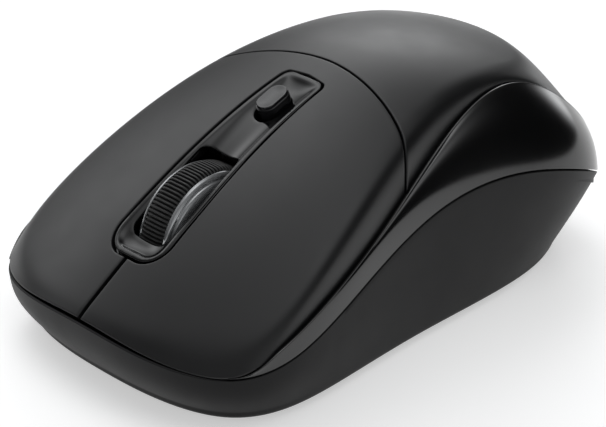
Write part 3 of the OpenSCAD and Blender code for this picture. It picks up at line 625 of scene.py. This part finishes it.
def build_materials():
    m = {}
    m["case"] = surface("case_matte", (0.004, 0.004, 0.0043), 0.5, grain=0.16, bump=0.012,
                        Specular_IOR_Level=0.2)
    m["key"] = surface("key_satin", (0.006, 0.006, 0.0065), 0.4, grain=0.1, bump=0.004)
    m["palm"] = surface("palm_satin", (0.006, 0.006, 0.0065), 0.36, grain=0.1, bump=0.004)
    m["gloss"] = surface("trim_gloss", (0.002, 0.002, 0.0022), 0.15, grain=1.5, bump=0.0015,
                         rough_spread=0.03, Specular_IOR_Level=0.75)
    m["inlay"] = surface("inlay_gloss", (0.003, 0.003, 0.0034), 0.09, grain=1.2, bump=0.001,
                         rough_spread=0.02, Specular_IOR_Level=0.4)
    m["button"] = surface("button_gloss", (0.008, 0.008, 0.009), 0.16, grain=0.2, bump=0.001,
                          rough_spread=0.03)
    m["frame"] = surface("frame_plastic", (0.012, 0.012, 0.013), 0.55, grain=0.2, bump=0.01)
    m["rubber"] = surface("tyre_rubber", (0.012, 0.012, 0.012), 0.55, grain=0.08, bump=0.01,
                          rough_spread=0.1)
    m["clear"] = surface("hub_clear", (0.42, 0.43, 0.44), 0.08, grain=0.5, bump=0.0008,
                         rough_spread=0.02, mottle=0.03, Transmission_Weight=0.35, IOR=1.6,
                         metallic=0.5, Coat_Weight=1.0, Coat_Roughness=0.03)
    m["lens"] = surface("lens_clear", (0.9, 0.93, 0.95), 0.04, grain=0.5, bump=0.0008,
                        rough_spread=0.02, mottle=0.03, Transmission_Weight=1.0, IOR=1.5)
    m["lamp"] = surface("lamp_red", (0.75, 0.04, 0.03), 0.08, grain=0.5, bump=0.0008,
                        rough_spread=0.02, Transmission_Weight=0.8, IOR=1.5)
    m["steel"] = surface("axle_steel", (0.55, 0.55, 0.57), 0.26, metallic=1.0, grain=0.05,
                         bump=0.002, streak=(0.1, 1, 1))
    m["contact"] = surface("contact_nickel", (0.62, 0.6, 0.56), 0.3, metallic=1.0, grain=0.08,
                           bump=0.002)
    m["can"] = surface("can_metal", (0.66, 0.66, 0.67), 0.3, metallic=1.0, grain=0.06, bump=0.002)
    m["screw"] = surface("screw_black", (0.16, 0.16, 0.17), 0.35, metallic=1.0, grain=0.1,
                         bump=0.003)
    m["encoder"] = surface("encoder_blue", (0.03, 0.07, 0.2), 0.35, grain=0.2, bump=0.006)
    m["switch"] = surface("switch_black", (0.018, 0.018, 0.02), 0.35, grain=0.15, bump=0.004)
    m["cream"] = surface("plunger_cream", (0.7, 0.64, 0.5), 0.4, grain=0.2, bump=0.003)
    m["red"] = surface("plunger_red", (0.4, 0.03, 0.02), 0.4, grain=0.2, bump=0.003)
    m["chip"] = surface("chip_epoxy", (0.015, 0.015, 0.017), 0.6, grain=0.08, bump=0.006)
    m["sleeve"] = surface("capacitor_sleeve", (0.02, 0.03, 0.12), 0.3, grain=0.4, bump=0.002)
    m["knob"] = surface("knob_grey", (0.42, 0.42, 0.43), 0.45, grain=0.15, bump=0.006)
    m["foot"] = surface("foot_slick", (0.02, 0.02, 0.022), 0.3, grain=0.3, bump=0.004)
    m["board"] = surface("board_green", (0.015, 0.1, 0.04), 0.3, grain=0.4, bump=0.004)
    m["wrap"] = surface("cell_wrap", (0.5, 0.24, 0.05), 0.25, metallic=0.8, grain=0.3, bump=0.002)
    m["receiver"] = surface("receiver_plastic", (0.012, 0.012, 0.013), 0.3, grain=0.15, bump=0.005)
    return m


MAT = build_materials()

# ---- keys and palm cover ----

def arc_t(s, offset, lo=4.0, hi=7.5):
    """Where the curved seam, moved by offset, crosses the lines of constant s."""
    s = np.atleast_1d(s)

    def f(t):
        p = skin(t, s)
        return arc_gap(p[:, 0], p[:, 1]) - offset
    return solve(f, np.full(len(s), lo), np.full(len(s), hi))


def key_patch():
    gap = SKIN_ROUND
    slot_x = KEY_SLOT / 2 + gap
    grow = INLAY_GAP + gap
    offset = SEAM / 2 + gap

    def slot_t(s):
        s = np.atleast_1d(s)
        return solve(lambda t: skin(t, s)[:, 0] - slot_x, np.zeros(len(s)), np.full(len(s), 1.5))

    def slot_gap(s):
        p = skin(slot_t(s), s)
        return hull_gap(p[:, 0], p[:, 1], INLAY_CIRCLES) - grow
    s_meet = solve(slot_gap, [0.6], [1.9])[0]
    t_meet = slot_t(s_meet)[0]

    def rear_gap(t):
        p = skin(t, np.full(len(t), 2.0))
        return hull_gap(p[:, 0], p[:, 1], INLAY_CIRCLES) - grow
    t_rear = solve(rear_gap, [3.0], [7.0])[0]
    t_arc = arc_t(2.0, offset)[0]

    s_left = np.linspace(hem_s(slot_t(0.0))[0], s_meet, 60)
    left_t, left_s, left_len = even(slot_t(s_left), s_left, ROWS)
    s_hem = -0.05
    for _ in range(4):
        s_hem = hem_s(arc_t(s_hem, offset))[0]
    s_right = np.linspace(s_hem, 2.0, 120)
    right_t, right_s, right_len = even(arc_t(s_right, offset), s_right, ROWS)
    t_low = np.linspace(left_t[0], right_t[0], 400)
    s_low = hem_s(t_low)
    low_t, low_s, low_len = even(t_low, s_low, COLUMNS)
    t_in = t_meet + (t_rear - t_meet) * np.linspace(0, 1, 300) ** 1.4

    def in_gap(s):
        p = skin(t_in, s)
        return hull_gap(p[:, 0], p[:, 1], INLAY_CIRCLES) - grow
    s_in = solve(in_gap, np.full(len(t_in), 0.7), np.full(len(t_in), 2.0))
    s_in[0] = s_meet
    s_in[-1] = 2.0
    behind = max(4, int(COLUMNS * 0.09))
    a_t, a_s, _ = even(t_in, s_in, COLUMNS - behind)
    b_t = np.linspace(t_rear, t_arc, behind + 1)[1:]
    top_t = np.concatenate([a_t, b_t])
    top_s = np.concatenate([a_s, np.full(behind, 2.0)])
    grid_t, grid_s = coons((low_t, low_s), (top_t, top_s), (left_t, left_s), (right_t, right_s))
    return grid_t, grid_s


def patch_points(grid_t, grid_s):
    p = skin(grid_t, grid_s).reshape(-1, 3)
    n = skin_normal(grid_t, grid_s).reshape(-1, 3)
    near = np.abs(p[:, 0]) < 1e-3
    p[near, 0] = 0
    n[near, 0] = 0
    return p, unit(n), grid_faces(*grid_t.shape)


COLUMNS = 150
ROWS = 84


def make_keys():
    grid_t, grid_s = key_patch()
    p, n, faces = patch_points(grid_t, grid_s)
    pts, out = shell(p, n, faces, SKIN_ROUND, SKIN_WALL, flat_middle=True)
    flipped = [tuple(reversed(f)) for f in out]
    for side, name, points, quads in (
            ("left", "left_key_skin", pts, out),
            ("right", "right_key_skin", pts * MIRROR, flipped)):
        obj = make(name, points, quads, MAT["key"], None)
        nodes = ["left_key"] if side == "left" else ["right_key", "key_web"]
        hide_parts(*nodes)
        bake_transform(obj)


def palm_patch():
    offset = -(SEAM / 2 + SKIN_ROUND)
    s_hem = -0.05
    for _ in range(4):
        s_hem = hem_s(arc_t(s_hem, offset))[0]
    s_left = np.linspace(s_hem, 2.0, 120)
    left_t, left_s, _ = even(arc_t(s_left, offset), s_left, ROWS)
    s_right = np.linspace(hem_s(np.array([LAST_T]))[0], 2.0, 80)
    right_t, right_s, _ = even(np.full(80, LAST_T), s_right, ROWS)
    t_low = np.linspace(left_t[0], LAST_T, 400)
    low_t, low_s, _ = even(t_low, hem_s(t_low), COLUMNS)
    t_top = np.linspace(left_t[-1], LAST_T, 100)
    top_t, top_s, _ = even(t_top, np.full(100, 2.0), COLUMNS)
    return coons((low_t, low_s), (top_t, top_s), (left_t, left_s), (right_t, right_s))


def make_palm():
    p, n, faces = patch_points(*palm_patch())
    p, n, faces = mirror_join(p, n, faces)
    pts, out = shell(p, n, faces, SKIN_ROUND, SKIN_WALL)
    make("palm_skin", pts, out, MAT["palm"], "housing", ["palm_cover"])


# ---- trim and case ----

TRIM_T0 = 2.0
TRIM_WALL = 0.6
TRIM_LIP = 0.28
TRIM_LIFT = 0.32


def trim_section(t):
    """Closed section of the gloss band at one place, from its inner foot over the lip and down."""
    c0 = spline(EDGE, t)[0]
    b0 = spline(RIM, t)[0] + (0, 0, TRIM_LIFT)
    n = inward(EDGE, t)[0]
    grow = np.clip((t - TRIM_T0) / 0.9, 0, 1)
    grow = grow * grow * (3 - 2 * grow)
    c = (1 - grow) * np.array([*(0.5 * c0[:2] + 0.5 * b0[:2]), b0[2] + 0.12]) + grow * c0
    lip = TRIM_LIP * (0.25 + 0.75 * grow)
    r = 0.4 * lip
    up = np.array([0, 0, 1.0])
    inner_edge = c + n * (2 * lip - r) - up * r
    outer_edge = c + n * r - up * r
    arc = [inner_edge + n * r * math.cos(a) + up * r * math.sin(a) for a in np.linspace(0, math.pi / 2, 4)]
    arc += [outer_edge + n * r * math.cos(a) + up * r * math.sin(a)
            for a in np.linspace(math.pi / 2, math.pi, 4)]
    start = arc[-1]
    m = np.array([*(0.22 * start[:2] + 0.78 * b0[:2]), 0.22 * b0[2] + 0.78 * start[2]])
    us = np.linspace(0, 1, 18)[1:]
    face = [(1 - u) ** 2 * start + 2 * u * (1 - u) * m + u * u * b0 for u in us]
    foot_r = 0.22 * (0.3 + 0.7 * grow)
    foot = [b0 + n * foot_r * (1 - math.cos(a)) - (0, 0, foot_r * math.sin(a) * 0.5)
            for a in (0.6, 1.1, 1.57)]
    deep = 1.3 * (0.3 + 0.7 * grow)
    back = [b0 + n * deep + (0, 0, 0.1)]
    inner = [f + n * (TRIM_WALL + (deep - TRIM_WALL) * u) for f, u in zip(face, us)][-2::-3]
    return np.array(arc + face + foot + back + inner)


def make_trim():
    ts = np.concatenate([TRIM_T0 + 0.4 * np.linspace(0, 1, 14) ** 1.5,
                         np.linspace(TRIM_T0 + 0.4, LAST_T, 190)[1:]])
    half = [trim_section(t) for t in ts]
    rows = half + [r * MIRROR for r in half[-2::-1]]
    pts, faces = loft(rows)
    make("side_trim_band", pts, faces, MAT["gloss"], "housing", ["side_trim"])


CASE_LOW = 0.6
FLOOR_TOP = 2.4
CASE_WALL = 1.8


def case_section(t):
    """Section of the case at one place, from the flat bottom up the wall, over the lip and down."""
    a = spline(BASE, t)[0]
    b = spline(RIM, t)[0]
    na = inward(BASE, t)[0]
    nb = inward(RIM, t)[0]
    bulge = 1.1 + (0.35 - 1.1) * np.clip((t - 1.5) / 2, 0, 1)
    up = np.array([0, 0, 1.0])
    pts = []
    for q in np.linspace(0, math.pi / 2, 7):
        p = a + na * 2.2 * (1 - math.sin(q))
        p[2] = CASE_LOW + (a[2] - CASE_LOW) * (1 - math.cos(q))
        pts.append(p)

    def wall(k):
        return a + (b - a) * k - bulge * math.sin(math.pi * k) * nb
    pts += [wall(k) for k in np.linspace(0, 0.985, 16)[1:]]
    r = 0.28
    pts += [b + nb * r * (1 - math.cos(q)) - up * r * (1 - math.sin(q))
            for q in np.linspace(0.4, math.pi / 2, 5)]
    pts += [b + nb * (0.42 + 0.15 * math.sin(q)) - up * 0.15 * (1 - math.cos(q)) for q in (0, 0.8, 1.57)]
    pts += [b + nb * 0.57 - up * 2.2, b + nb * (CASE_WALL - 0.2) - up * 2.3, b + nb * CASE_WALL - up * 2.6]
    pts += [wall(k) + nb * CASE_WALL for k in (0.6, 0.3)]
    last = a + na * (CASE_WALL + 0.6)
    last[2] = FLOOR_TOP
    pts.append(last)
    return np.array(pts)


SCREWS = [(18.5, 0), (-18.5, 0), (15.6, 33), (-15.6, 33)]


def prism(circles, z0, z1, flare=0.0, flare_z=0.0, spacing=0.35):
    """A straight cutter, with its lower end flared by a small amount to chamfer the edge it cuts."""
    levels = [(z0, flare), (flare_z, flare), (flare_z + flare, 0.0), (z1, 0.0)] if flare else [
        (z0, 0.0), (z1, 0.0)]
    ring = hull_outline(circles, 0, spacing)
    c = ring.mean(0)
    rows = []
    for z, grow in levels:
        out = unit(np.roll(ring, -1, 0) - np.roll(ring, 1, 0))
        out = np.stack([out[:, 1], -out[:, 0]], -1)
        rows.append(np.column_stack([ring + out * grow, np.full(len(ring), z)]))
    return loft(rows)


def cut(obj, cutters):
    """Takes closed cutters away from an object's mesh."""
    bm_all = []
    for k, (pts, faces) in enumerate(cutters):
        mesh = bpy.data.meshes.new("cutter")
        mesh.from_pydata((pts * MM).tolist(), [], [list(map(int, f)) for f in faces])
        bm = bmesh.new()
        bm.from_mesh(mesh)
        bmesh.ops.recalc_face_normals(bm, faces=bm.faces)
        bm.to_mesh(mesh)
        bm.free()
        other = bpy.data.objects.new("cutter", mesh)
        bpy.context.scene.collection.objects.link(other)
        mod = obj.modifiers.new("cut", "BOOLEAN")
        mod.operation = "DIFFERENCE"
        mod.solver = "EXACT"
        mod.object = other
        bm_all.append(other)
    dg = bpy.context.evaluated_depsgraph_get()
    done = bpy.data.meshes.new_from_object(obj.evaluated_get(dg))
    obj.modifiers.clear()
    obj.data = done
    for other in bm_all:
        bpy.data.objects.remove(other)


def shade(obj, angle=35):
    """Smooth shading up to an angle, sharp beyond it."""
    bm = bmesh.new()
    bm.from_mesh(obj.data)
    for f in bm.faces:
        f.smooth = True
    for e in bm.edges:
        e.smooth = len(e.link_faces) == 2 and e.calc_face_angle(0) < math.radians(angle)
    bm.to_mesh(obj.data)
    bm.free()


def make_case():
    ts = np.linspace(0, LAST_T, 181)
    half = [case_section(t) for t in ts]
    rows = half + [r * MIRROR for r in half[-2:0:-1]]
    m = len(rows[0])
    n = len(rows)
    faces = []
    for i in range(n):
        k = (i + 1) % n
        for j in range(m - 1):
            faces.append((i * m + j, k * m + j, k * m + j + 1, i * m + j + 1))
    faces.append(tuple(i * m for i in range(n))[::-1])
    faces.append(tuple(i * m + m - 1 for i in range(n)))
    obj = make("case_shell", np.vstack(rows), faces, MAT["case"], None)
    z = CASE_LOW
    cutters = [
        prism(rounded_rect(0, 20, 22, 39, 2), -1, 5, 0.25, z),
        prism(rounded_rect(17.2, 19.3, 6.9, 14.9, 0.8), -1, 5, 0.3, z),
        prism(rounded_rect(-18, 15, 5.4, 11, 1.6), -1, z + 0.5, 0.25, z),
        prism(rounded_rect(-18, 15, 3.6, 8.2, 0.6), -1, 5),
        prism(rounded_rect(0, -12.5, 13.5, 17, 4.6), -1, z + 0.35, 0.3, z),
        prism(rounded_rect(0, -12.5, 9, 12, 3), -1, 5, 0.25, z + 0.35),
        prism(rounded_rect(0, -37.5, 34.5, 7.5, 3.5), -1, z + 0.3, 0.12, z),
        prism(rounded_rect(0, 43.7, 18.5, 5.5, 2.6), -1, z + 0.3, 0.12, z),
    ]
    cutters += [prism([(x, y, 2.5)], -1, z + 1.5, 0.25, z, 0.3) for x, y in SCREWS]
    cut(obj, cutters)
    shade(obj)
    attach(obj, "housing")
    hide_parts("bottom_case")


# ---- centre inlay ----

INLAY_WALL = 1.1
WHEEL_Y = -25.3
WHEEL_Z = 19.0
BUTTON_Y = -9.8
BUTTON_Z = 36.91
BUTTON_TILT = math.radians(21.3)
BUTTON_HALF = 1.9
BUTTON_LENGTH = 6.2


def inlay_height(x, y):
    """Top of the inlay: a flat rim, then a hollow that is deeper round the wheel."""
    g = -hull_gap(x, y, INLAY_CIRCLES)
    u = np.clip((y - INLAY_FRONT) / (INLAY_REAR - INLAY_FRONT), 0, 1)
    half = 5.75 + (4.25 - 5.75) * u
    rim = 0.5
    across = np.clip((half - np.abs(x) - rim) / (half - rim), 0, 1)
    along = np.clip((np.minimum(y - INLAY_FRONT, INLAY_REAR - y) - rim) / 3.4, 0, 1)
    corner = np.clip((g - rim) / 1.1, 0, 1)
    middle = 1.65 + (0.95 - 1.65) * np.clip((y + 22) / 9, 0, 1)
    hollow = middle * (1 - (1 - across) ** 2.3) * (1 - (1 - along) ** 2) * (1 - (1 - corner) ** 2)
    return top_height(x, y) - 0.12 - hollow


WHEEL_OPENING = both_sides([(2.75, -35.7, 1.2), (2.05, -22.3, 2.0)])


def button_opening(grow):
    c = math.cos(BUTTON_TILT)
    reach = (BUTTON_LENGTH / 2 - BUTTON_HALF) * c
    return [(0, BUTTON_Y - reach, BUTTON_HALF + grow), (0, BUTTON_Y + reach, BUTTON_HALF + grow)]


def make_inlay():
    pts, faces = plate(INLAY_CIRCLES, [WHEEL_OPENING, button_opening(0.3)], inlay_height, 0.2,
                       INLAY_WALL + 0.9, 0.34, bottom=None)
    make("inlay_strip", pts, faces, MAT["inlay"], "housing", ["centre_inlay"])


# ---- wheel and small button ----

TYRE_R = 11.5
TYRE_HALF = 2.45
RIBS = 104


def make_wheel():
    centre = (0, WHEEL_Y, WHEEL_Z)
    shape = [0, 0, 0.12, 0.9, 1, 0.9, 0.12]
    w = TYRE_HALF
    outer = [(x, TYRE_R - 0.55 * (abs(x) / w) ** 6) for x in np.linspace(-w, w, 15)]
    profile = [(-w + 0.05, 10.0)] + outer + [(w - 0.05, 10.0)]

    def ribs(x, r, i):
        if r < 10.5:
            return r
        return r - 0.5 * shape[i % len(shape)]
    pts, faces = lathe(profile, centre, RIBS * len(shape), ribs)
    make("tyre_ribbed", pts, faces, MAT["rubber"], "wheel", ["wheel_tyre"])
    rim = [(2.56 + 0.7 * math.sin(a), 10.2 + 0.84 * math.cos(a)) for a in np.linspace(0.1, 1.25, 9)]
    step = [(3.16, 10.28), (3.08, 10.12), (3.14, 9.98)]
    dome = [(3.14 + 0.56 * math.sin(a), 8.9 + 1.06 * math.cos(a)) for a in np.linspace(0.25, 1.5, 10)]
    groove = [(3.68, 8.3), (3.56, 8.15), (3.52, 7.9), (3.56, 7.65), (3.68, 7.5)]
    side = [(2.52, 9.95), (2.52, 10.98)] + rim + step + dome + groove + [(3.68, 6.7), (3.5, 6.5),
            (2.5, 6.3), (2.3, 6.1), (2.3, 3.3), (2.5, 3.05), (3.5, 3.0), (3.68, 2.8), (3.68, 1.2),
            (3.55, 1.08)]
    profile = [(-x, r) for x, r in side[::-1]] + side
    pts, faces = lathe(profile[::-1], centre, 220)
    make("hub_clear_rim", pts, faces, MAT["clear"], "wheel", ["wheel_hub"], 30)


def tilt(pts):
    """From the small button's own frame to the model's."""
    c, s = math.cos(BUTTON_TILT), math.sin(BUTTON_TILT)
    p = np.asarray(pts, float)
    return np.column_stack([p[:, 0], BUTTON_Y + p[:, 1] * c - p[:, 2] * s,
                            BUTTON_Z + p[:, 1] * s + p[:, 2] * c])


def make_small_button():
    reach = BUTTON_LENGTH / 2 - BUTTON_HALF
    outline = [(0, -reach, BUTTON_HALF), (0, reach, BUTTON_HALF)]
    ring = hull_outline(outline, 0, 0.2)
    levels = [(-3.6, 0.6), (-3.3, 0.6), (-3.1, 0.0), (0.45, 0.0), (0.5, 0.04), (0.54, 0.14), (0.98, 0.18),
              (1.04, 0.2), (1.09, 0.26), (1.1, 0.34), (1.08, 0.5), (1.03, 0.9), (0.98, 1.4), (0.96, 1.86)]
    rows = []
    d = unit(np.roll(ring, -1, 0) - np.roll(ring, 1, 0))
    inward_dir = np.stack([-d[:, 1], d[:, 0]], -1)
    for k, (z, inset) in enumerate(levels):
        grow = -inset if k < 2 else inset
        rows.append(np.column_stack([ring + inward_dir * grow, np.full(len(ring), z)]))
    pts, faces = loft(rows)
    make("small_button_cap", tilt(pts), faces, MAT["button"], "small_button_body",
         ["small_button"], 25)


make_keys()
make_palm()
make_trim()
make_case()
make_inlay()
make_wheel()
make_small_button()

# ---- materials of the CAD pieces that stay ----

CAD_MATERIALS = {
    "top_frame": "frame", "button_board": "board", "button_switch_body": "switch",
    "button_switch_plunger": "cream", "wheel_axle": "steel", "wheel_cradle": "frame",
    "wheel_bracket": "frame", "encoder_body": "encoder", "wheel_switch_body": "switch",
    "wheel_switch_plunger": "red", "main_board": "board", "left_switch_body": "switch",
    "left_switch_plunger": "cream", "right_switch_body": "switch",
    "right_switch_plunger": "cream", "sensor_chip": "chip", "sensor_lens": "lens",
    "sensor_lamp": "lamp", "radio_chip": "chip", "crystal_can": "can",
    "capacitors": "sleeve", "power_switch_body": "can", "power_knob": "knob",
    "battery_box": "frame", "battery_cells": "wrap", "spring_contacts": "contact",
    "button_contacts": "contact", "battery_door": "case", "receiver_bay": "frame",
    "receiver_plug": "can", "receiver_cap": "receiver", "front_foot": "foot",
    "rear_foot": "foot", "case_screws": "screw", "board_screws": "screw",
}
for name, finish in CAD_MATERIALS.items():
    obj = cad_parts[name]
    obj.data.materials.clear()
    obj.data.materials.append(MAT[finish])

# ---- camera, floor and lights ----

VIEW_AZIMUTH = math.radians(45)
VIEW_ELEVATION = math.radians(27)
VIEW_ROLL = math.radians(1)
VIEW_DISTANCE = 430
VIEW_LENS = 151
VIEW_RIGHT = -1.5
VIEW_UP = 12
VIEW_Y = -0.5


def make_camera():
    ca, sa = math.cos(VIEW_AZIMUTH), math.sin(VIEW_AZIMUTH)
    ce, se = math.cos(VIEW_ELEVATION), math.sin(VIEW_ELEVATION)
    back = Vector((sa * ce, -ca * ce, se))
    right = Vector((ca, sa, 0))
    up = back.cross(right)
    right2 = math.cos(VIEW_ROLL) * right + math.sin(VIEW_ROLL) * up
    up2 = -math.sin(VIEW_ROLL) * right + math.cos(VIEW_ROLL) * up
    place = right * VIEW_RIGHT + up * VIEW_UP + back * VIEW_DISTANCE + Vector((0, VIEW_Y, 0))
    data = bpy.data.cameras.new("camera")
    data.lens = VIEW_LENS
    data.clip_start = 0.01
    data.clip_end = 20
    cam = bpy.data.objects.new("camera", data)
    bpy.context.scene.collection.objects.link(cam)
    cam.matrix_world = Matrix.Translation(place * MM) @ Matrix((right2, up2, back)).transposed().to_4x4()
    bpy.context.scene.camera = cam


# A plain studio: where each soft lamp hangs, as degrees round from the object's right
# (90 is behind the tail) and degrees up, then how tight its glow is and how bright.
LAMPS = {
    "overhead_right": (0, 75, 14, 1.8),
    "overhead_left": (180, 65, 30, 1.8),
    "rear_left_high": (155, 50, 30, 2.2),
    "rear_left_low": (130, 25, 40, 3.5),
    "left_side": (180, 30, 30, 2.5),
    "tail_rim": (100, 5, 90, 3.0),
    "front_fill": (-80, 45, 12, 0.35),
    "right_fill": (-15, 5, 10, 0.7),
}
AMBIENT = 0.015
FLOOR_GLOW = 0.5
FLOOR_HALF = 4.0
FLOOR_Z = -0.0001


def math_node(tree, operation, a, b=None, c=None):
    """One arithmetic node; each input is a number or a socket."""
    n = tree.nodes.new("ShaderNodeMath")
    n.operation = operation
    for socket, value in zip(n.inputs, (a, b, c)):
        if isinstance(value, (int, float)):
            socket.default_value = value
        elif value is not None:
            tree.links.new(value, socket)
    return n.outputs[0]


def toward(turn, lift):
    """Unit vector for degrees round from the object's right and degrees up."""
    a, b = math.radians(turn), math.radians(lift)
    return Vector((math.cos(a) * math.cos(b), math.sin(a) * math.cos(b), math.sin(b)))


def make_world():
    """A dark studio with large soft glows round the object, seen as a pale backdrop behind it."""
    world = bpy.data.worlds.new("world")
    bpy.context.scene.world = world
    world.use_nodes = True
    tree = world.node_tree
    way = tree.nodes.new("ShaderNodeTexCoord").outputs["Generated"]
    total = AMBIENT
    for turn, lift, tight, bright in LAMPS.values():
        dot = tree.nodes.new("ShaderNodeVectorMath")
        dot.operation = "DOT_PRODUCT"
        tree.links.new(way, dot.inputs[0])
        dot.inputs[1].default_value = toward(turn, lift)
        slope = math_node(tree, "MULTIPLY_ADD", dot.outputs["Value"], tight, -tight)
        glow = math_node(tree, "EXPONENT", slope)
        total = math_node(tree, "MULTIPLY_ADD", glow, bright, total)
    lit = tree.nodes["Background"]
    lit.inputs["Color"].default_value = (0.98, 0.99, 1.0, 1)
    tree.links.new(total, lit.inputs["Strength"])
    pale = node(tree, "ShaderNodeBackground", Strength=0.9)
    pale.inputs["Color"].default_value = (0.95, 0.95, 0.95, 1)
    rays = node(tree, "ShaderNodeLightPath")
    pick = node(tree, "ShaderNodeMixShader")
    tree.links.new(rays.outputs["Is Camera Ray"], pick.inputs["Fac"])
    tree.links.new(lit.outputs[0], pick.inputs[1])
    tree.links.new(pale.outputs[0], pick.inputs[2])
    tree.links.new(pick.outputs[0], tree.nodes["World Output"].inputs["Surface"])


def see_from_below(mat):
    """Let the floor's back side through, so that the underside can be looked at."""
    tree = mat.node_tree
    side = node(tree, "ShaderNodeNewGeometry")
    clear = node(tree, "ShaderNodeBsdfTransparent")
    pick = node(tree, "ShaderNodeMixShader")
    tree.links.new(side.outputs["Backfacing"], pick.inputs["Fac"])
    tree.links.new(tree.nodes["Principled BSDF"].outputs[0], pick.inputs[1])
    tree.links.new(clear.outputs[0], pick.inputs[2])
    tree.links.new(pick.outputs[0], tree.nodes["Material Output"].inputs["Surface"])


def make_floor():
    """A plain pale floor just under the feet."""
    mesh = bpy.data.meshes.new("floor")
    s = FLOOR_HALF
    corners = [(-s, -s, FLOOR_Z), (s, -s, FLOOR_Z), (s, s, FLOOR_Z), (-s, s, FLOOR_Z)]
    mesh.from_pydata(corners, [], [(0, 1, 2, 3)])
    floor = bpy.data.objects.new("floor", mesh)
    bpy.context.scene.collection.objects.link(floor)
    mat = surface("floor_pale", (0.8, 0.8, 0.8), 0.6, grain=2, bump=0.0, mottle=0.01)
    bsdf = mat.node_tree.nodes["Principled BSDF"]
    bsdf.inputs["Emission Color"].default_value = (1, 1, 1, 1)
    bsdf.inputs["Emission Strength"].default_value = FLOOR_GLOW
    see_from_below(mat)
    mesh.materials.append(mat)


def make_stage():
    make_floor()
    make_world()
    bpy.context.scene.view_settings.view_transform = "Standard"


make_camera()
make_stage()
